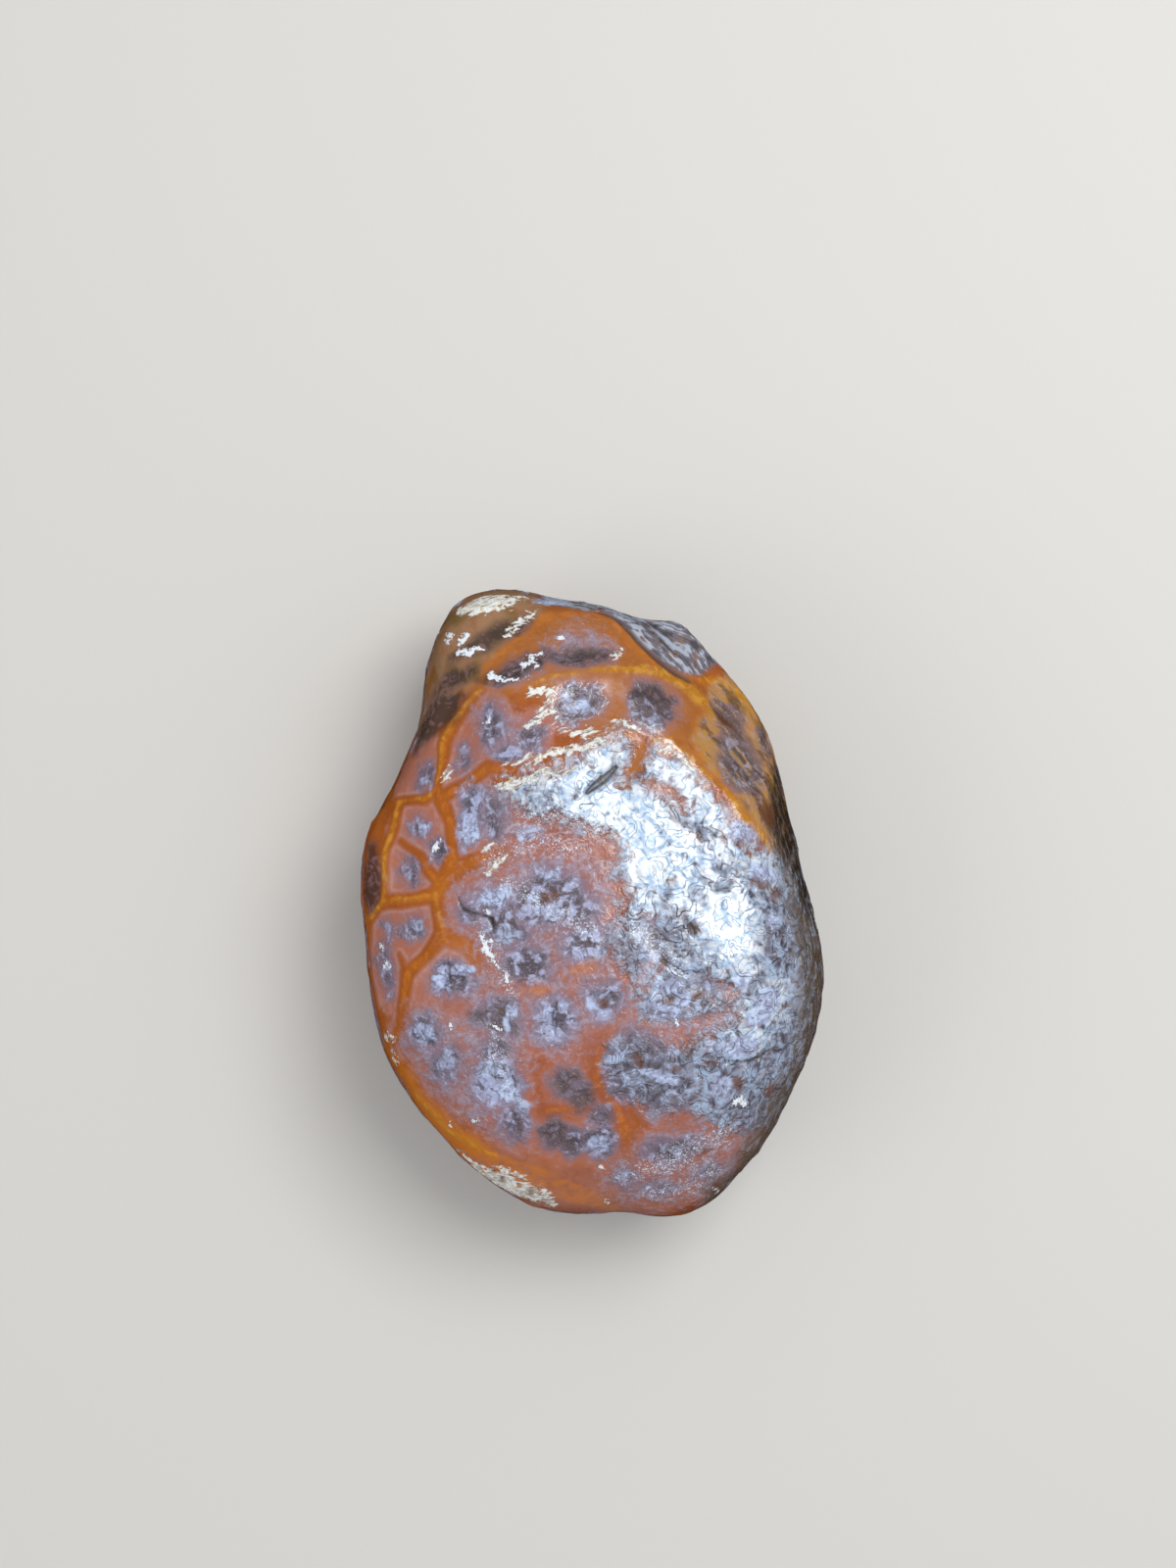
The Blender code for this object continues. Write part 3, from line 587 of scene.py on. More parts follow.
# How far each feature is raised, or sunk where it is negative
HEIGHTS = {
    "eye": -0.15, "web": 0.07, "vein": 0.05, "fine_grain": 0.055, "coarse_grain": 0.11,
    "druse_swell": 0.16, "rind": 0.05, "glint": 0.06, "groove": -0.5, "ledge": -0.22,
    "unevenness": 0.03,
}


def smoothstep(low, high, value):
    t = np.clip((value - low) / (high - low), 0.0, 1.0)
    return t * t * (3.0 - 2.0 * t)


def sphere_cage():
    """A cube cut into squares and blown up into a sphere, drawn towards its top."""
    cage = bmesh.new()
    bmesh.ops.create_cube(cage, size=2.0)
    bmesh.ops.subdivide_edges(cage, edges=list(cage.edges), cuts=CELLS - 1, use_grid_fill=True)
    mesh = bpy.data.meshes.new("agate_stone")
    cage.to_mesh(mesh)
    cage.free()
    corners = read_points(mesh)
    ways = np.tan(corners * math.pi / 4.0)
    ways /= np.linalg.norm(ways, axis=1)[:, None]
    polar = np.arccos(np.clip(ways[:, 2], -1.0, 1.0))
    polar -= FRONT_SHIFT * np.sin(polar)
    flat = np.maximum(np.hypot(ways[:, 0], ways[:, 1]), 1e-9)
    ways[:, 0] *= np.sin(polar) / flat
    ways[:, 1] *= np.sin(polar) / flat
    ways[:, 2] = np.cos(polar)
    return mesh, ways * HALF_SIZE


def read_points(mesh):
    points = np.empty(len(mesh.vertices) * 3)
    mesh.vertices.foreach_get("co", points)
    return points.reshape(-1, 3)


def write_points(mesh, points):
    mesh.vertices.foreach_set("co", points.ravel())
    mesh.update()


def read_normals(mesh):
    normals = np.empty(len(mesh.vertices) * 3)
    mesh.vertices.foreach_get("normal", normals)
    return normals.reshape(-1, 3)


def smooth_cad_tree():
    """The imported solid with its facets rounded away, ready to be hit by rays."""
    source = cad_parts["agate"]
    mesh = source.data.copy()
    welder = bmesh.new()
    welder.from_mesh(mesh)
    bmesh.ops.remove_doubles(welder, verts=welder.verts, dist=WELD * MM)
    welder.to_mesh(mesh)
    welder.free()
    copy = bpy.data.objects.new("smooth_copy", mesh)
    bpy.context.scene.collection.objects.link(copy)
    subdivision = copy.modifiers.new("rounding", "SUBSURF")
    subdivision.levels = CAD_SUBDIVISION
    subdivision.render_levels = CAD_SUBDIVISION
    graph = bpy.context.evaluated_depsgraph_get()
    rounded = copy.evaluated_get(graph)
    tree = BVHTree.FromObject(rounded, graph)
    bpy.data.objects.remove(copy, do_unlink=True)
    return tree


def cast_onto_cad(ways):
    """Where rays from the stone's middle, one for each way, leave the solid."""
    tree = smooth_cad_tree()
    middle = Vector((0.0, 0.0, HALF_SIZE[2])) * MM
    points = np.empty_like(ways)
    for i, way in enumerate(ways):
        hit = tree.ray_cast(middle, Vector(way))[0]
        points[i] = hit
    return points / MM


def edge_pairs(mesh):
    pairs = np.empty(len(mesh.edges) * 2, dtype=np.int32)
    mesh.edges.foreach_get("vertices", pairs)
    return pairs.reshape(-1, 2)


def relax(points, pairs, rounds):
    """Moves each point half-way to the middle of its neighbours, round after round."""
    count = np.bincount(pairs.ravel(), minlength=len(points))[:, None]
    for _ in range(rounds):
        total = np.zeros_like(points)
        np.add.at(total, pairs[:, 0], points[pairs[:, 1]])
        np.add.at(total, pairs[:, 1], points[pairs[:, 0]])
        points = 0.5 * points + 0.5 * total / count
    return points


def seen_from_above(points):
    """Places u and v of surface points on the pattern plane, along the line of sight."""
    eye_x, eye_y, eye_z = CAMERA_PLACE
    reach = (eye_z - PATTERN_PLANE) / (eye_z - points[:, 2])
    return eye_x + (points[:, 0] - eye_x) * reach, eye_y + (points[:, 1] - eye_y) * reach


def noise_at(points, step, offset=0.0):
    """Smooth noise from about -1 to 1, with features of the given step."""
    shift = Vector((offset, -offset, 0.7 * offset))
    return np.array([noise.noise(Vector(point) / step + shift) for point in points])


def lumps_at(points, step):
    """Rounded grains like a bunch of grapes: 1 at the middle of a grain, 0 between grains."""
    nearest = np.array([noise.voronoi(Vector(point) / step)[0][0] for point in points])
    return 1.0 - np.clip(nearest / 0.7, 0.0, 1.0) ** 2


def turned(u, v, centre_u, centre_v, turn):
    """u and v measured from a centre, along axes turned by some degrees."""
    angle = math.radians(turn)
    du, dv = u - centre_u, v - centre_v
    return du * math.cos(angle) + dv * math.sin(angle), dv * math.cos(angle) - du * math.sin(angle)


def inside_ellipse(u, v, centre_u, centre_v, half_u, half_v, turn, waves=None):
    """About how far inside an ellipse a place lies, in millimetres; negative outside."""
    along, across = turned(u, v, centre_u, centre_v, turn)
    apart = np.hypot(along, across)
    share = np.maximum(np.hypot(along / half_u, across / half_v), 1e-6)
    if waves is not None:
        angle = np.arctan2(across, along)
        for order, (reach, phase) in zip((2, 3, 5), waves):
            share = share * (1.0 + reach * np.sin(order * angle + phase))
    within = (1.0 - share) * min(half_u, half_v)
    beyond = apart / share - apart
    return np.where(share < 1.0, within, beyond)


def inside_ellipses(u, v, ellipses):
    """How far inside the nearest of some ellipses a place lies; negative outside."""
    return np.max([inside_ellipse(u, v, *ellipse) for ellipse in ellipses], axis=0)


def inside_outline(u, v, outline):
    """Distance to the edge of a zone in millimetres; positive inside, negative outside."""
    nearest = np.full(len(u), FAR)
    crossings = np.zeros(len(u), dtype=int)
    for (u0, v0), (u1, v1) in zip(outline, outline[1:] + outline[:1]):
        run_u, run_v = u1 - u0, v1 - v0
        t = np.clip(((u - u0) * run_u + (v - v0) * run_v) / (run_u**2 + run_v**2), 0.0, 1.0)
        nearest = np.minimum(nearest, np.hypot(u - u0 - t * run_u, v - v0 - t * run_v))
        between = (v0 > v) != (v1 > v)
        crossings += between & (u < u0 + (v - v0) * run_u / np.where(between, run_v, 1.0))
    return np.where(crossings % 2 == 1, nearest, -nearest)


def inside_lines(u, v, lines):
    """How far inside the nearest of some lines of changing width a place lies; negative outside."""
    best = np.full(len(u), -FAR)
    for line in lines:
        for (u0, v0, width0), (u1, v1, width1) in zip(line, line[1:]):
            run_u, run_v = u1 - u0, v1 - v0
            t = np.clip(((u - u0) * run_u + (v - v0) * run_v) / (run_u**2 + run_v**2), 0.0, 1.0)
            apart = np.hypot(u - u0 - t * run_u, v - v0 - t * run_v)
            best = np.maximum(best, 0.5 * (width0 + (width1 - width0) * t) - apart)
    return best


def face_fields(u, v, soft_u, soft_v):
    """The pattern of the face, as signed distances in millimetres and two shares: tone and blob.

    Lines and zones are read at u and v, which bend gently; eyes, the painted glints on chips, and rind
    at soft_u and soft_v, which bend more.
    """
    draw = np.random.default_rng(SEED)
    first = np.full(len(u), -FAR)
    reach = np.full(len(u), -FAR)
    tone = np.zeros(len(u))
    weight = np.full(len(u), 1e-9)
    for *ellipse, pale, halo_width in EYES:
        waves = [(draw.uniform(0.3, 1.0) * limit, draw.uniform(0.0, 6.3)) for limit in EYE_WAVES]
        inside = inside_ellipse(soft_u, soft_v, *ellipse, waves) - CORE_EASING
        first = np.maximum(first, inside)
        reach = np.maximum(reach, inside + halo_width + WIDER_HALO)
        pull = np.exp(3.0 * np.clip(inside, -3.0, 1.0))
        tone += pale * pull
        weight += pull
    blobs = [
        strength * smoothstep(-0.3, 0.3, inside_ellipse(soft_u, soft_v, *ellipse))
        for *ellipse, strength in BLOBS
    ]
    return {
        "core": first,
        "halo": reach,
        "tone": tone / weight,
        "web": inside_lines(u, v, WEB),
        "vein": inside_lines(u, v, VEINS),
        "rind": inside_lines(soft_u, soft_v, RIND),
        "glint": inside_lines(soft_u, soft_v, GLINTS),
        "groove": inside_lines(u, v, GROOVES),
        "ledge": inside_lines(u, v, (LEDGE,)),
        "spot": inside_ellipses(soft_u, soft_v, SPOTS),
        "smoke": inside_lines(soft_u, soft_v, SMOKES),
        "ember": inside_ellipses(soft_u, soft_v, EMBERS),
        "blob": np.max(blobs, axis=0),
        "sparkle": inside_lines(soft_u, soft_v, SPARKLES),
    }


def zone_fields(u, v, stray):
    """How far inside each zone a place lies; the zones run right through the stone."""
    salmon_gap = inside_lines(u, v, SALMON_GAPS)
    gap = np.maximum(inside_lines(u, v, ORANGE_GAPS), salmon_gap)
    return {
        "druse": np.minimum(inside_outline(u, v, DRUSE_ZONE) + stray, -1.3 * gap),
        "salmon_gap": salmon_gap,
        "frost": np.max([inside_outline(u, v, zone) for zone in FROST_ZONES], axis=0) - stray,
        # fields of painted highlight on the druse
        "painted_highlight": inside_lines(u, v, PAINTED_HIGHLIGHT_FIELDS) - np.abs(stray),
        "left": inside_outline(u, v, LEFT_ZONE) + stray,
        "crown": inside_outline(u, v, CROWN_ZONE) - np.abs(stray),
        "fibre": inside_lines(u, v, (FIBRE_BAND,)) - np.abs(stray),
        "red": inside_outline(u, v, RED_ZONE) - stray,
        "bottom": inside_outline(u, v, BOTTOM_ZONE) - stray,
        "facet": inside_outline(u, v, FACET_ZONE) + stray,
        "lobe": inside_outline(u, v, LOBE_ZONE) + stray,
        "shelf": inside_outline(u, v, SHELF_ZONE) + stray,
        "smoky": inside_lines(u, v, (SMOKY_RIM,)) - stray,
        "rim": inside_lines(u, v, (DARK_RIM,)) - np.abs(stray),
        "amber": inside_lines(u, v, AMBER_BANDS) - np.abs(stray),
    }


def hidden_fields(points, facing):
    """The same kind of pattern for the sides and back, grown around eyes spread at random."""
    draw = np.random.default_rng(SEED)
    hidden = np.flatnonzero(facing < FACING_FADE[1])
    centres = []
    for i in draw.permutation(hidden):
        if all(np.linalg.norm(points[i] - centre) > HIDDEN_SPACING for centre in centres):
            centres.append(points[i])
        if len(centres) == HIDDEN_EYES:
            break
    centres = np.array(centres)
    radii = draw.uniform(*HIDDEN_RADII, len(centres))
    pale = draw.uniform(*HIDDEN_TONES, len(centres))
    apart = np.linalg.norm(points[:, None, :] - centres[None, :, :], axis=2) - radii
    order = np.argsort(apart, axis=1)[:, :2]
    first = -np.take_along_axis(apart, order[:, :1], axis=1)[:, 0]
    second = -np.take_along_axis(apart, order[:, 1:2], axis=1)[:, 0]
    strand = STRAND_HALF_WIDTH + 0.5 * (second - first)
    far = np.full(len(points), -FAR)
    return {
        "core": first,
        "halo": first + HIDDEN_HALO,
        "tone": pale[order[:, 0]],
        "web": np.minimum(strand, -first - 0.3),
        "vein": strand - 0.55,
        "rind": 2.4 * noise_at(points, 4.2, 5.0) - 1.35,
        # painted glints, spread by noise
        "glint": 1.5 * noise_at(points, 1.2, 9.0) - 0.9,
        "groove": far,
        "ledge": far,
        "spot": far,
        "smoke": 2.0 * noise_at(points, 3.5, 25.0) - 1.1,
        "ember": 2.0 * noise_at(points, 3.0, 33.0) - 1.1,
        "blob": smoothstep(0.25, 0.5, noise_at(points, 1.6, 29.0)),
        # painted sparkle, spread by noise
        "sparkle": 2.0 * noise_at(points, 2.4, 37.0) - 1.0,
    }


def pattern_fields(points, normals):
    """All fields of the pattern at each surface point, the face's and the hidden sides' as one."""
    gentle = [WARP_REACH * noise_at(points, WARP_STEP, offset) for offset in (1.0, 2.0)]
    strong = [
        warp + FINE_WARP_REACH * noise_at(points, FINE_WARP_STEP, offset)
        for warp, offset in zip(gentle, (3.0, 4.0))
    ]
    u, v = seen_from_above(points)
    sight = np.array(CAMERA_PLACE) - points
    sight /= np.linalg.norm(sight, axis=1)[:, None]
    facing = np.sum(sight * normals, axis=1)
    face = face_fields(u + gentle[0], v + gentle[1], u + strong[0], v + strong[1])
    warped = points + np.column_stack((strong[0], strong[1], strong[0])) * 2.0
    hidden = hidden_fields(warped, facing)
    shown = smoothstep(*FACING_FADE, facing)
    fields = {name: hidden[name] + (face[name] - hidden[name]) * shown for name in face}
    stray = STRAY_REACH * noise_at(points, STRAY_STEP, 8.0) * smoothstep(0.1, -0.5, facing)
    fields.update(zone_fields(u + gentle[0], v + gentle[1], stray))
    fields["frost"] = np.maximum(fields["frost"], fields["salmon_gap"] + 0.6)
    fields["halo"] += FROST_WIDENING * smoothstep(-1.0, 1.0, fields["frost"])
    left = smoothstep(-0.5, 0.5, fields["left"])
    fields["halo"] += LEFT_WIDENING * left
    fields["core"] -= LEFT_CORE_EASING * left
    return fields


def relief(points, fields):
    """Height to add along each normal for what is raised or sunk in the pattern.

    The pairs of numbers are distances inside a feature's edge, at which its height starts and is
    full.
    """
    core = smoothstep(-0.6, 0.6, fields["core"])
    druse = smoothstep(-1.2, 1.0, fields["druse"])
    frost = smoothstep(-1.0, 1.0, fields["frost"])
    rough = np.maximum(0.8 * core, np.maximum(druse, 0.35 * frost))
    height = HEIGHTS["eye"] * core * (1.0 - 0.6 * druse)
    height += HEIGHTS["web"] * smoothstep(-0.5, 0.3, fields["web"]) * (1.0 - druse)
    height += HEIGHTS["vein"] * smoothstep(-0.3, 0.2, fields["vein"])
    height += HEIGHTS["fine_grain"] * rough * lumps_at(points, 0.95)
    height += HEIGHTS["coarse_grain"] * rough * lumps_at(points + 31.0, 2.0)
    height += HEIGHTS["druse_swell"] * druse * noise_at(points, 2.8, 4.0)
    flaking = 1.0 + noise_at(points, 0.5, 6.0)
    height += HEIGHTS["rind"] * smoothstep(-0.1, 0.2, fields["rind"]) * flaking
    height += HEIGHTS["glint"] * smoothstep(-0.1, 0.1, fields["glint"])
    height += HEIGHTS["groove"] * smoothstep(-0.2, 0.25, fields["groove"])
    height += HEIGHTS["ledge"] * smoothstep(-0.25, 0.2, fields["ledge"])
    height += HEIGHTS["unevenness"] * noise_at(points, 1.3, 7.0)
    return height


def layered(base, layers):
    """A colour for each point: the base, with each layer's colour laid over it by its share."""
    colours = np.tile(base, (len(layers[0][1]), 1))
    for paint, share in layers:
        colours = colours + (paint - colours) * share[:, None]
    return colours


def tints(fields, points):
    """Broad colours of the web, the halos and the eyes at each point; fine detail comes later."""
    ragged = 0.6 * noise_at(points, 1.1, 11.0) + 0.3 * noise_at(points, 0.4, 13.0)
    share = {
        name: smoothstep(-width, width, fields[name] + ragged * min(width, 1.0))
        for name, width in ZONE_EDGES.items()
    }
    drift = smoothstep(-0.5, 0.6, noise_at(points, 3.2, 15.0))
    olive = smoothstep(0.1, 0.6, noise_at(points, 2.2, 27.0)) * np.maximum(share["lobe"], share["facet"])
    tone = fields["tone"]
    web = (
        (DUSTY, 0.75 * share["frost"]),
        (ORANGE, share["left"]),
        (ORANGE, 0.5 * (1.0 - share["red"]) * (1.0 - share["frost"])),
        (SALMON, 0.7 * share["bottom"]),
        (ORANGE_DEEP, 0.3 * drift),
        (SALMON, 0.85 * share["salmon_gap"]),
        (CROWN, 0.75 * share["crown"]),
        (OCHRE, 0.85 * share["facet"]),
        (BROWN, 0.85 * share["lobe"]),
        # smoky right edge: its own colour with painted shade
        (SMOKE, 0.8 * share["smoky"]),
        (STEEL, 0.95 * share["shelf"]),
        (OLIVE, 0.7 * olive),
    )
    halo = (
        (MAUVE, 0.35 * share["frost"]),
        (CROWN_HALO, 0.7 * share["crown"]),
        (FACET_GREY, 0.85 * share["facet"]),
        (OLIVE, 0.5 * olive),
        (BROWN, 0.75 * share["lobe"]),
        # smoky right edge: its own colour with painted shade
        (SMOKE, 0.8 * share["smoky"]),
        (STEEL, 0.95 * share["shelf"]),
    )
    eye = (
        (EYE_GREY, smoothstep(0.0, 0.5, tone)),
        (EYE_BLUE, smoothstep(0.4, 1.0, tone)),
        (BROWN, 0.4 * share["facet"]),
    )
    return {
        "web_tint": layered(RED_ORANGE, web),
        "halo_tint": layered(PINK, halo),
        "eye_tint": layered(EYE_DARK, eye),
    }


def keep_in_box(points):
    """No point leaves the solid's box, and none goes below the resting plane."""
    low = np.array(cad_box[0]) / MM
    high = np.array(cad_box[1]) / MM
    return np.clip(points, low, high)


# Fields that the material reads from the mesh
SHARED_FIELDS = (
    "core", "halo", "web", "vein", "rind", "glint", "groove", "ledge", "spot", "smoke", "ember",
    "blob", "sparkle", "tone", "druse", "painted_highlight", "frost", "smoky", "rim", "amber", "facet", "lobe",
    "shelf", "crown", "red", "fibre",
)


def make_stone():
    mesh, ways = sphere_cage()
    points = cast_onto_cad(ways)
    pairs = edge_pairs(mesh)
    points = relax(points, pairs, SMOOTHING_ROUNDS)
    base = points[:, 2] < PRESSED_BELOW
    points[base, 2] = 0.0
    write_points(mesh, points * MM)
    normals = read_normals(mesh)
    fields = pattern_fields(points, normals)
    height = relief(points, fields) * smoothstep(0.0, FULL_RELIEF_AT, points[:, 2])
    points = keep_in_box(points + normals * height[:, None])
    write_points(mesh, points * MM)
    mesh.shade_smooth()
    for name in SHARED_FIELDS:
        store = mesh.attributes.new(name, "FLOAT", "POINT").data
        store.foreach_set("value", fields[name].astype(np.float32))
    for name, colour in tints(fields, points).items():
        values = np.column_stack((colour, np.ones(len(colour)))).astype(np.float32)
        store = mesh.attributes.new(name, "FLOAT_COLOR", "POINT").data
        store.foreach_set("color", values.ravel())
    mesh.materials.append(make_agate_material())
    stone = bpy.data.objects.new("agate_stone", mesh)
    bpy.context.scene.collection.objects.link(stone)
    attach(stone, "root")
    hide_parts("agate")
    return stone


class Value:
    """A number, colour or place that a node of a material gives out, ready to reckon with."""

    def __init__(self, graph, socket):
        self.graph = graph
        self.socket = socket

    def __add__(self, other):
        return self.graph.math("ADD", self, other)

    def __mul__(self, other):
        return self.graph.math("MULTIPLY", self, other)

    def __sub__(self, other):
        return self.graph.math("SUBTRACT", self, other)

    def __rsub__(self, other):
        return self.graph.math("SUBTRACT", other, self)

    def __truediv__(self, other):
        return self.graph.math("DIVIDE", self, other)

    def most(self, other):
        return self.graph.math("MAXIMUM", self, other)

    def ramp(self, low, high, start=0.0, end=1.0):
        """Smoothly from start to end as the value goes from low to high."""
        node = self.graph.add("ShaderNodeMapRange", interpolation_type="SMOOTHSTEP")
        for socket, number in zip(node.inputs, (self, low, high, start, end)):
            self.graph.link(number, socket)
        return Value(self.graph, node.outputs["Result"])

    def under(self, *layers):
        """This colour with others laid over it in turn, each by its share from 0 to 1."""
        colour = self
        for paint, share in layers:
            colour = self.graph.mix(share, colour, paint)
        return colour


class Graph:
    """Short names for the nodes of one material. Steps and places are in millimetres."""

    def __init__(self, name):
        self.material = bpy.data.materials.new(name)
        self.material.use_nodes = True
        self.tree = self.material.node_tree
        self.shader = self.tree.nodes["Principled BSDF"]
        place = Value(self, self.add("ShaderNodeTexCoord").outputs["Object"])
        self.place = self.vector_math("MULTIPLY", place, (1.0 / MM, 1.0 / MM, 1.0 / MM))

    def add(self, kind, **settings):
        node = self.tree.nodes.new(kind)
        for name, value in settings.items():
            setattr(node, name, value)
        return node

    def link(self, value, socket):
        """Joins a value to a socket, or writes a plain number or colour into it."""
        if isinstance(value, Value):
            self.tree.links.new(value.socket, socket)
        elif isinstance(value, (int, float)):
            socket.default_value = value
        else:
            socket.default_value = (*value, 1.0)

    def math(self, operation, *values):
        node = self.add("ShaderNodeMath", operation=operation)
        for socket, value in zip(node.inputs, values):
            self.link(value, socket)
        return Value(self, node.outputs["Value"])

    def vector_math(self, operation, place, factors, added=None):
        node = self.add("ShaderNodeVectorMath", operation=operation)
        self.link(place, node.inputs[0])
        node.inputs[1].default_value = factors
        if added:
            self.link(added, node.inputs[2])
        return Value(self, node.outputs["Vector"])

    def mix(self, share, first, second):
        """The second colour laid over the first by a share.

        Sockets 6, 7 and 2 are the colour ones; by name, those for plain numbers are found.
        """
        node = self.add("ShaderNodeMix", data_type="RGBA")
        self.link(share, node.inputs["Factor"])
        self.link(first, node.inputs[6])
        self.link(second, node.inputs[7])
        return Value(self, node.outputs[2])

    def field(self, name):
        return Value(self, self.add("ShaderNodeAttribute", attribute_name=name).outputs["Fac"])

    def tint(self, name):
        return Value(self, self.add("ShaderNodeAttribute", attribute_name=name).outputs["Color"])

    def noise_node(self, place, step, detail=2.0, rough=0.5, bend=0.0):
        node = self.add("ShaderNodeTexNoise")
        self.link(place, node.inputs["Vector"])
        node.inputs["Scale"].default_value = 1.0 / step
        node.inputs["Detail"].default_value = detail
        node.inputs["Roughness"].default_value = rough
        node.inputs["Distortion"].default_value = bend
        return node

    def noise(self, step, detail, rough=0.5, bend=0.0):
        """Noise around 0.5 with features of the given step."""
        return Value(self, self.noise_node(self.place, step, detail, rough, bend).outputs["Fac"])

    def grains(self, step, place):
        """Distance to the middle of the nearest grain, in grain widths."""
        node = self.add("ShaderNodeTexVoronoi")
        self.link(place, node.inputs["Vector"])
        node.inputs["Scale"].default_value = 1.0 / step
        return Value(self, node.outputs["Distance"])

    def bent(self, step, reach):
        """Object places pushed about by noise of the given step, up to about half the reach."""
        drift = Value(self, self.noise_node(self.place, step).outputs["Color"])
        return self.vector_math("MULTIPLY_ADD", drift, (reach, reach, reach), self.place)

    def fibres(self, place, step, turn, stretch):
        """Noise drawn out into strands that lie at an angle to +X, in the plane of the face."""
        turning = self.add("ShaderNodeVectorRotate", rotation_type="Z_AXIS")
        self.link(place, turning.inputs["Vector"])
        turning.inputs["Angle"].default_value = -math.radians(turn)
        drawn = self.vector_math("MULTIPLY", Value(self, turning.outputs["Vector"]), (stretch, 1.0, 1.0))
        return Value(self, self.noise_node(drawn, step, 3.0).outputs["Fac"])

    def bump(self, height):
        """Normals for a height in millimetres."""
        node = self.add("ShaderNodeBump")
        node.inputs["Strength"].default_value = 1.0
        node.inputs["Distance"].default_value = MM
        self.link(height, node.inputs["Height"])
        return Value(self, node.outputs["Normal"])


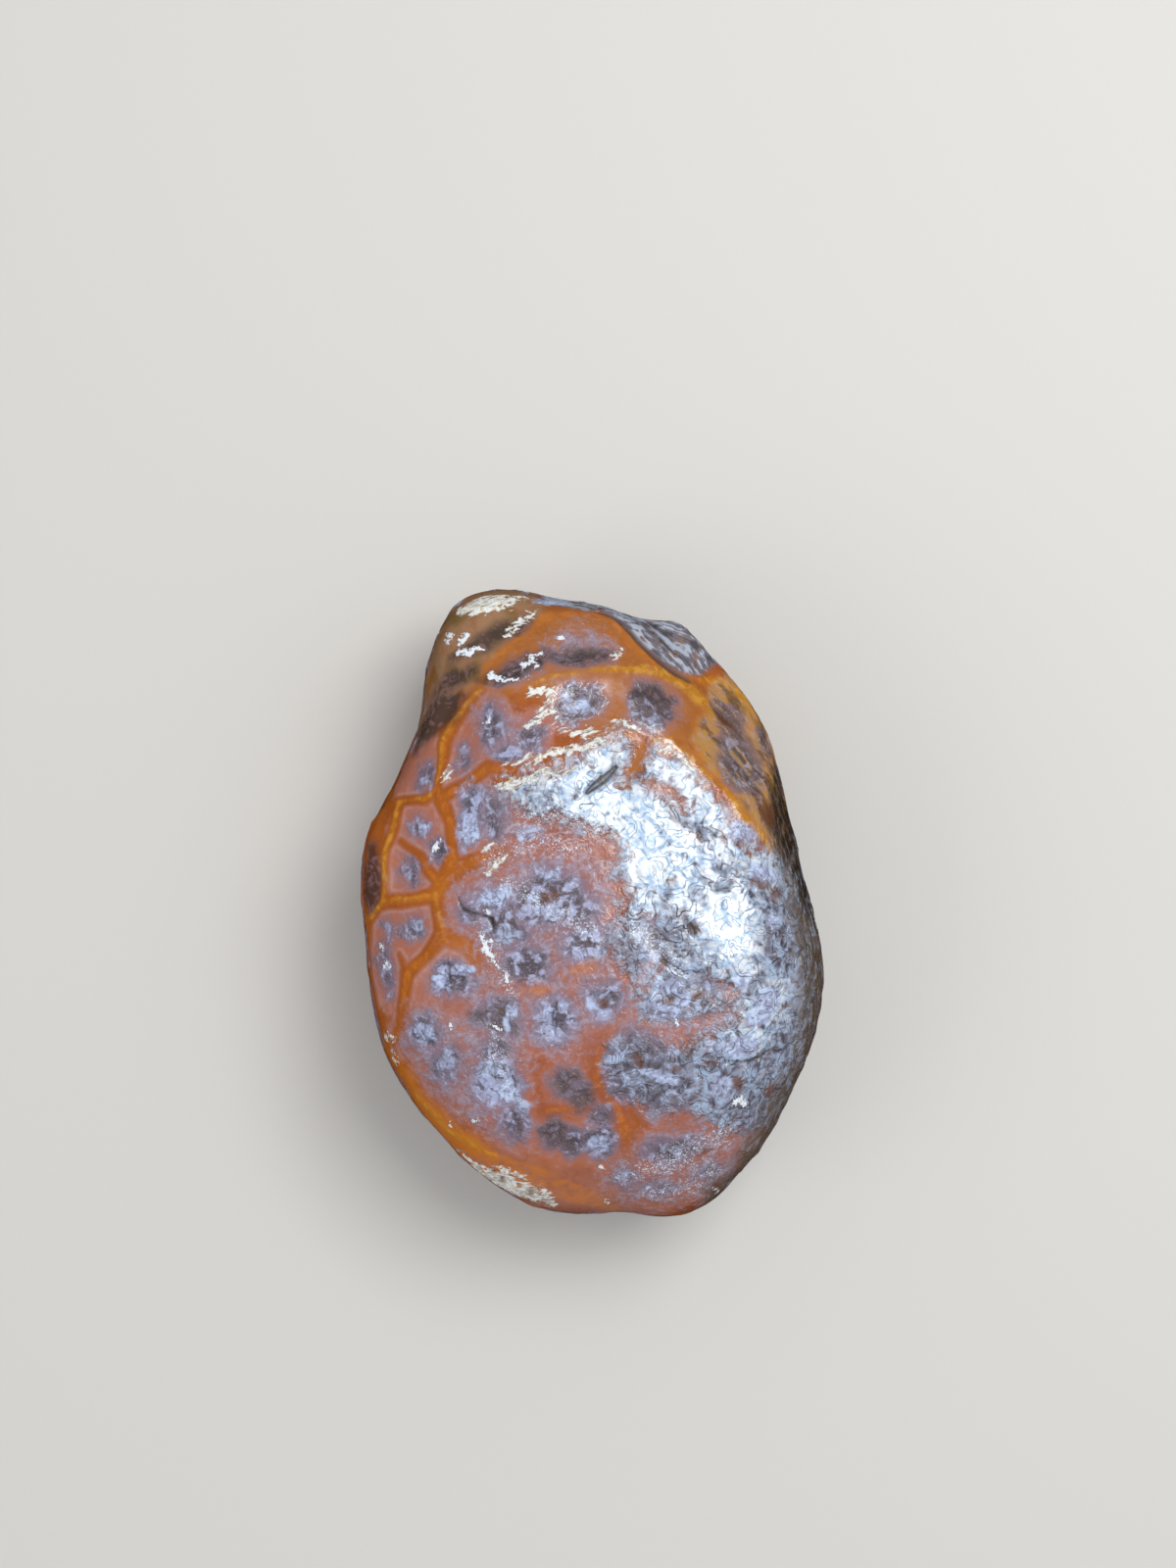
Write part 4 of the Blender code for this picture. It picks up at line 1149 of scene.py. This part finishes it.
class Agate(Graph):
    """The stone's material: colour in layers from the web up, then gloss and the finest relief.

    Noises lie around 0.5 and most of them stay between 0.35 and 0.65. A share goes from 0 to 1.
    """

    def __init__(self):
        super().__init__("agate")
        self.fine = self.noise(0.34, 3.0, 0.55, 0.4)
        self.speck = self.noise(0.13, 2.0)
        self.middle = self.noise(0.9, 3.0, 0.5, 0.7)
        self.blotch = self.noise(0.8, 2.5, 0.5, 0.5)
        self.broad = self.noise(3.2, 2.0)
        self.swirl = self.noise(1.6, 5.0, 0.6, 2.0)
        self.drifting = self.bent(2.0, 1.5)
        self.wobble = (self.middle - 0.5) * 1.7 + (self.fine - 0.5) * 0.7
        self.ragged = (self.fine - 0.5) * 1.2 + (self.speck - 0.5) * 0.5

        # Shares of the zones
        self.druse = self.inside("druse", self.wobble, 2.2, -1.1, 1.1)
        self.frost = self.inside("frost", self.wobble, 1.6, -1.4, 1.4)
        # share of the painted highlight, where the druse is painted pale and white for light thrown back
        self.painted_highlight = self.inside("painted_highlight", self.wobble, 2.4, -1.6, 1.8)
        self.facet = self.inside("facet", self.wobble, 0.5, -0.3, 0.5)
        self.lobe = self.inside("lobe", self.wobble, 0.4, -0.3, 0.5)
        self.red = self.field("red").ramp(-1.0, 1.0)
        self.crown = self.field("crown").ramp(-1.0, 1.0)
        self.earthy = self.facet.most((self.lobe * 0.9).most(self.crown * 0.45))

        # Ledges of grains: each cycle of the layers is a small step, with painted shade at its foot and
        # a painted highlight on its crest.
        self.layers = (self.noise(1.25, 1.2, 0.5, 0.6) + self.fine * 0.03) * 5.2
        self.cycle = self.math("FRACT", self.layers)
        self.lit_crest = self.cycle.ramp(0.6, 0.0)
        self.shaded_foot = self.cycle.ramp(0.58, 0.76) * self.cycle.ramp(0.9, 0.8)
        self.grain = self.grains(0.8, self.bent(0.7, 0.8))

        # Shares of the eyes, the rind, the glints, and the grooves and ledge together
        self.depth = self.field("core") + self.wobble * 0.9
        core_depth = self.depth / (self.red * 0.3 + 0.9)
        self.core = core_depth.ramp(-0.65, 0.4) * self.lobe.ramp(0.0, 1.0, 1.0, 0.45)
        self.feather = self.fibres(self.drifting, 0.3, 25.0, 0.25)
        feathers = self.ragged * 0.6 + (self.feather - 0.5) * 1.6
        self.rind = (self.field("rind") + feathers).ramp(-0.12, 0.16)
        self.glint = self.inside("glint", self.ragged, 0.9, -0.03, 0.06)
        groove = self.field("groove").ramp(-0.1, 0.1, 0.0, 0.85)
        self.dark = groove.most(self.inside("ledge", self.ragged, 0.2, -0.2, 0.1, 0.75))

    def inside(self, name, edge, reach, low, high, full=1.0):
        """From 0 to full as a field goes from low to high, its edge moved about by a noise."""
        return (self.field(name) + edge * reach).ramp(low, high, 0.0, full)

    def web(self, web_field):
        """Orange, deeper and lighter in drifts, brighter along the middle of its lines."""
        unveiled = 1.0 - self.frost * 0.7
        midline = (web_field + self.ragged * 0.15).ramp(0.12, 0.5, 0.0, 0.55) * (1.0 - self.frost)
        return self.tint("web_tint").under(
            (ORANGE_DEEP, unveiled * self.swirl.ramp(0.45, 0.72, 0.0, 0.35)),
            (ORANGE_LIGHT, unveiled * self.broad.ramp(0.5, 0.75, 0.0, 0.3)),
            (WEB_BRIGHT, midline * self.middle.ramp(0.4, 0.6, 0.3, 1.0)),
        )

    def cells(self):
        """The web, with the eyes' halos in its cells: soft ones in the frosted zones."""
        soft = self.frost.most((self.red * 0.7).most(self.crown * 0.6))
        web_field = self.field("web")
        web_depth = web_field + self.wobble * (soft * 0.55 + 0.12)
        off_web = (web_depth / (soft * 0.65 + 0.22)).ramp(1.0, -1.0)
        halo_reach = self.field("halo") + self.wobble * (soft + 0.5)
        cell = off_web * (halo_reach / (soft + 0.25)).ramp(-1.0, 1.0)
        return self.web(web_field).under((self.halo(web_depth, soft), cell))

    def halo(self, web_depth, soft):
        """Pink outside, lavender near the eye, with a pale border where it meets the web."""
        inner = self.depth + self.frost * 0.45
        border = web_depth.ramp(-0.45, -0.22) * web_depth.ramp(-0.02, -0.16)
        border = border * self.blotch.ramp(0.38, 0.56, 0.25, 1.0)
        tint = self.tint("halo_tint")
        return tint.under(
            (MAUVE, inner.ramp(-1.1, -0.4, 0.0, 0.6)),
            (LAVENDER, inner.ramp(-0.55, 0.0, 0.0, 0.8)),
            (PINK_PALE, self.middle.ramp(0.5, 0.66, 0.0, 0.35)),
            (LAVENDER_PALE, self.fine.ramp(0.52, 0.7, 0.0, 0.5) * (self.frost * 0.6 + 0.2)),
            (tint, self.earthy * 0.7),
            (PINK_PALE, border * (1.0 - soft) * 0.55),
        )

    def frosted(self, colour):
        """A grey-lavender veil over the frosted zones, with fibres in the upper one, painted highlight
        on the ledges' crests and painted shade at their feet.
        """
        veil = (self.middle * 0.6 + self.swirl * 0.4).ramp(0.46, 0.6, 0.0, 0.75)
        fibrous = self.frost * (self.field("fibre") + self.wobble).ramp(-1.2, 0.8, 0.2, 1.0)
        pale = self.fibres(self.drifting, 0.34, 24.0, 0.22).ramp(0.52, 0.64)
        dark = self.fibres(self.drifting, 0.5, 30.0, 0.25).ramp(0.46, 0.34)
        flecks = (self.speck * 0.5 + self.fine * 0.7).ramp(0.66, 0.76)
        return colour.under(
            (VEIL_GREY, self.frost * veil),
            (LAVENDER_PALE, self.frost * self.lit_crest * self.middle.ramp(0.42, 0.62, 0.0, 0.4)),
            (FIBRE_DARK, self.frost * self.shaded_foot * 0.2),
            (FIBRE_PALE, fibrous * pale * 0.5),
            (FIBRE_DARK, fibrous * dark * 0.4),
            (FROST, self.frost.most(0.15) * flecks * 0.5),
        )

    def eye(self):
        """Smoky in eyes of low tone and blotched with pale blue in the others, darker inside, with
        painted highlight on the ledges' crests and painted shade at their feet.
        """
        tone = self.field("tone")
        toned = tone.ramp(0.08, 0.35)
        pale = toned * (self.blotch + (tone - 0.5) * 0.2).ramp(0.52, 0.6, 0.0, 0.8)
        return self.tint("eye_tint").under(
            (EYE_DARK, self.blotch.ramp(0.58, 0.44) * self.depth.ramp(-0.3, 0.7, 0.35, 0.95)),
            (UMBER, (1.0 - toned) * self.fine.ramp(0.42, 0.62, 0.1, 0.8)),
            (EYE_GREY, (1.0 - toned) * self.blotch.ramp(0.5, 0.62, 0.0, 0.6)),
            (EYE_BLUE, pale),
            (EYE_BLUE, self.lit_crest * toned * self.blotch.ramp(0.44, 0.56, 0.0, 0.35)),
            (EYE_SPARK, pale * self.fine.ramp(0.52, 0.68, 0.0, 0.5)),
            (EYE_BLUE, self.speck.ramp(0.52, 0.7, 0.0, 0.3)),
            (EYE_DARK, self.shaded_foot * 0.4),
            (EARTH, self.earthy * self.middle.ramp(0.6, 0.4, 0.1, 0.6)),
        )

    def druse_colour(self, eye):
        """Blue-grey clouds in small ledges, with painted highlight on the ledges' crests and painted
        shade at their feet, and painted white glare where the druse throws the light back.
        """
        clouds = self.middle * 0.55 + self.swirl * 0.3 + self.fine * 0.15
        lively = clouds + (1.0 - self.grain) * 0.05 + self.painted_highlight * 0.06
        specks = self.noise(0.8, 3.0, 0.55, 1.5).ramp(0.62, 0.68, 0.0, 0.75)
        patchy = (self.middle * 0.6 + self.broad * 0.4).ramp(0.36, 0.45, 0.2, 1.0)
        glare = self.mix(self.swirl.ramp(0.42, 0.56), DRUSE_LIGHT, DRUSE_GLARE)
        return self.mix(lively.ramp(0.42, 0.58), DRUSE_DARK, DRUSE_GREY).under(
            (DRUSE_PALE, lively.ramp(0.54, 0.66, 0.0, 0.9)),
            (DRUSE_PALE, self.lit_crest * 0.45),
            (DRUSE_LIGHT, self.blotch.ramp(0.53, 0.62, 0.0, 0.55)),
            (DRUSE_SHADE, self.blotch.ramp(0.45, 0.36, 0.0, 0.6)),
            (DRUSE_STAIN, self.swirl.ramp(0.53, 0.66, 0.0, 0.45)),
            (DRUSE_SPECK, specks * self.painted_highlight.ramp(0.0, 1.0, 1.0, 0.3)),
            (eye, self.core * 0.45),
            # painted shade at the ledges' feet
            (CHINK_SHADE, self.shaded_foot * self.middle.ramp(0.36, 0.56, 0.6, 0.25)),
            # painted glare: white where the druse throws the light back, dimmed by the painted shade at
            # ledge feet
            (glare, self.painted_highlight * patchy * self.shaded_foot.ramp(0.0, 1.0, 0.98, 0.6)),
        )

    def banded(self, colour):
        """Orange blots, then golden bands, then smoky ones."""
        golden = self.mix(self.facet, AMBER, self.mix(self.swirl.ramp(0.4, 0.6), GOLD, OCHRE))
        smoke = self.mix(self.swirl.ramp(0.46, 0.62, 0.0, 0.6), SMOKE_DARK, MAUVE)
        return colour.under(
            (EMBER, self.inside("ember", self.wobble, 1.2, -0.6, 0.8, 0.7)),
            (golden, self.inside("amber", self.wobble, 0.8, -0.5, 0.6, 0.75)),
            (smoke, self.inside("smoke", self.wobble, 0.4, -0.7, 0.5, 0.85)),
        )

    def facet_and_shelf(self, colour):
        """Dark and ochre wisps down the steep facet with painted highlight on its ledges' crests, and
        grey sheets on the shelf behind the ledge, painted paler where the painted highlight falls.
        """
        wisps = self.fibres(self.drifting, 1.1, -62.0, 0.3)
        shelf = self.inside("shelf", self.ragged, 0.4, -0.1, 0.3)
        sheets = self.fibres(self.bent(2.6, 2.4), 0.75, -40.0, 0.24) * 0.7 + self.middle * 0.3
        # painted highlight: the sheets turn paler in its fields
        sheets = sheets + self.painted_highlight * 0.13
        return colour.under(
            (FACET_DARK, self.facet * wisps.ramp(0.44, 0.34, 0.0, 0.6)),
            (OCHRE, self.facet * wisps.ramp(0.52, 0.62, 0.0, 0.6)),
            (LAVENDER_PALE, self.facet * self.lit_crest * self.middle.ramp(0.45, 0.6, 0.0, 0.5)),
            (BROWN, shelf * self.swirl.ramp(0.52, 0.64, 0.0, 0.5)),
            (SHELF_PALE, shelf * sheets.ramp(0.5, 0.6, 0.0, 0.8)),
            (SHELF_DARK, shelf * sheets.ramp(0.48, 0.4, 0.0, 0.8)),
        )

    def blobs(self, colour):
        """Pale blue blobs, as strong as their field, with painted shade at the ledges' feet; those in
        the highlight fields and over the top edge are partly painted highlight.
        """
        strength = self.field("blob")
        share = (strength + self.wobble * 0.45).ramp(0.3, 0.6) * strength.ramp(0.2, 1.0, 0.35, 0.9)
        blob = self.mix((self.middle * 0.5 + self.fine * 0.5).ramp(0.44, 0.58), BLOB_GREY, BLOB_BLUE)
        return colour.under((blob.under((EYE_DARK, self.shaded_foot * 0.6)), share))

    def rims(self, colour):
        """Streaked smoky brown and near-black along the right-hand edge: the stone's smoky colour, with
        painted shade where the edge turns away.
        """
        streaks = self.fibres(self.drifting, 0.5, 82.0, 0.2).ramp(0.62, 0.42, 0.3, 0.95)
        return colour.under(
            (RIM_BROWN, self.inside("smoky", self.wobble, 1.4, -0.8, 0.8) * streaks),
            (RIM_DARK, self.inside("rim", self.wobble, 0.8, -0.5, 0.5) * streaks),
        )

    def details(self, colour):
        """Painted sparkles, golden veins, cream rind with some painted highlight, brown spots, painted
        white glints and dark grooves.
        """
        sparkling = self.inside("sparkle", self.wobble, 1.2, -0.8, 0.9)
        sparks = (self.speck * 0.8 + self.fine * 0.35).ramp(0.6, 0.7)
        vein = self.inside("vein", self.wobble, 0.16, -0.2, 0.22, 0.8)
        gold = self.mix(self.middle.ramp(0.42, 0.62), GOLD, GOLD_LIGHT)
        cream = self.mix((self.speck * 0.5 + self.fine).ramp(0.6, 0.72), CREAM_STAINED, CREAM)
        cream = cream.under((CREAM_SHADE, self.feather.ramp(0.54, 0.4, 0.0, 0.7)))
        return colour.under(
            # painted sparkle: white specks for light glinting off small grains
            (DRUSE_GLARE, sparkling * sparks * 0.85),
            (gold, vein * self.blotch.ramp(0.36, 0.54, 0.35, 1.0)),
            # cream rind, partly painted highlight on the ridges over the druse
            (cream, self.rind),
            (SPOT_BROWN, self.inside("spot", self.ragged, 0.7, -0.25, 0.2, 0.75)),
            # painted glints
            (GLINT_WHITE, self.glint),
            (GAP, self.dark),
        )

    def roughness(self):
        """Wet-looking web, duller eyes, frost and druse, dull rind and grooves."""
        rough = self.fine.ramp(0.3, 0.7) * 0.06 + 0.19
        rough = rough + self.core * 0.1 + self.frost * 0.12 + self.druse * 0.06
        return rough + self.rind * 0.35 + self.dark * 0.4

    def height(self):
        """The finest relief in millimetres: grains, their ledges, a ripple and rough chips."""
        grains = (self.core * 0.4).most(self.druse) * self.grain.ramp(0.0, 0.8, 0.03, 0.0)
        terrace = self.math("FLOOR", self.layers) + self.cycle.ramp(0.7, 1.0)
        stepped = (self.core * 0.5).most(self.druse.most(self.frost * 0.3))
        ripple = self.fine * ((self.core * 0.6).most(self.frost * 0.5) * 0.05 + 0.008)
        chips = (self.rind + self.glint) * self.fine * 0.1
        return grains + stepped * terrace * 0.075 + ripple + chips


def make_agate_material():
    agate = Agate()
    eye = agate.eye()
    colour = agate.frosted(agate.cells())
    colour = colour.under((eye, agate.core), (agate.druse_colour(eye), agate.druse))
    for layer in (agate.banded, agate.facet_and_shelf, agate.blobs, agate.rims, agate.details):
        colour = layer(colour)
    sockets = agate.shader.inputs
    agate.link(colour, sockets["Base Color"])
    agate.link(agate.roughness(), sockets["Roughness"])
    agate.link(agate.bump(agate.height()), sockets["Normal"])
    sockets["Coat Weight"].default_value = 0.1
    sockets["Coat Roughness"].default_value = 0.08
    sockets["Specular IOR Level"].default_value = 0.28
    return agate.material


def make_floor():
    bpy.ops.mesh.primitive_plane_add(size=FLOOR_SIZE, location=(0.0, 0.0, -FLOOR_DROP * MM))
    floor = bpy.context.object
    floor.name = "floor"
    material = bpy.data.materials.new("floor")
    material.use_nodes = True
    shader = material.node_tree.nodes["Principled BSDF"]
    shader.inputs["Base Color"].default_value = (*srgb(206, 203, 198), 1.0)
    shader.inputs["Roughness"].default_value = 0.75
    floor.data.materials.append(material)
    floor.visible_glossy = False
    floor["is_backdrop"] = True


def add_softbox(name, place, size, power, colour):
    """A lamp aimed at the stone, with its size in metres and its power in watts.

    Its place is a tilt from straight up and a turn from +X in degrees, and metres away.
    """
    lamp = bpy.data.lights.new(name, "AREA")
    lamp.shape = "RECTANGLE"
    lamp.size, lamp.size_y = size
    lamp.energy = power
    lamp.color = colour
    tilt, turn = math.radians(place[0]), math.radians(place[1])
    way = Vector((math.sin(tilt) * math.cos(turn), math.sin(tilt) * math.sin(turn), math.cos(tilt)))
    softbox = bpy.data.objects.new(name, lamp)
    softbox.location = way * place[2]
    softbox.rotation_euler = way.to_track_quat("Z", "Y").to_euler()
    bpy.context.scene.collection.objects.link(softbox)
    return softbox


def light_scene():
    """Soft light all round, a key and a fill, and a window that only the gloss throws back."""
    world = bpy.data.worlds.new("studio")
    world.use_nodes = True
    background = world.node_tree.nodes["Background"]
    background.inputs["Color"].default_value = (0.95, 0.97, 1.0, 1.0)
    background.inputs["Strength"].default_value = 0.62
    world.cycles_visibility.glossy = False
    bpy.context.scene.world = world
    key = add_softbox("key", (28.0, 45.0, 0.45), (0.22, 0.22), 1.1, (1.0, 0.99, 0.97))
    key.visible_glossy = False
    window = add_softbox("window", (37.0, 34.0, 0.45), (0.4, 0.15), 6.0, (0.88, 0.95, 1.0))
    window.visible_diffuse = False
    add_softbox("fill", (50.0, 200.0, 0.6), (0.3, 0.3), 0.5, (0.95, 0.98, 1.0))


def place_camera():
    camera = bpy.data.objects.new("camera", bpy.data.cameras.new("camera"))
    camera.data.lens = CAMERA_LENS
    camera.data.clip_start = 0.01
    camera.location = Vector(CAMERA_PLACE) * MM
    bpy.context.scene.collection.objects.link(camera)
    bpy.context.scene.camera = camera


def main():
    bpy.context.scene.view_settings.view_transform = "Standard"
    place_camera()
    make_stone()
    make_floor()
    light_scene()
    boxes = {"cad": cad_box, "visual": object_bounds()}
    boxes = {name: [list(corner) for corner in box] for name, box in boxes.items()}


main()
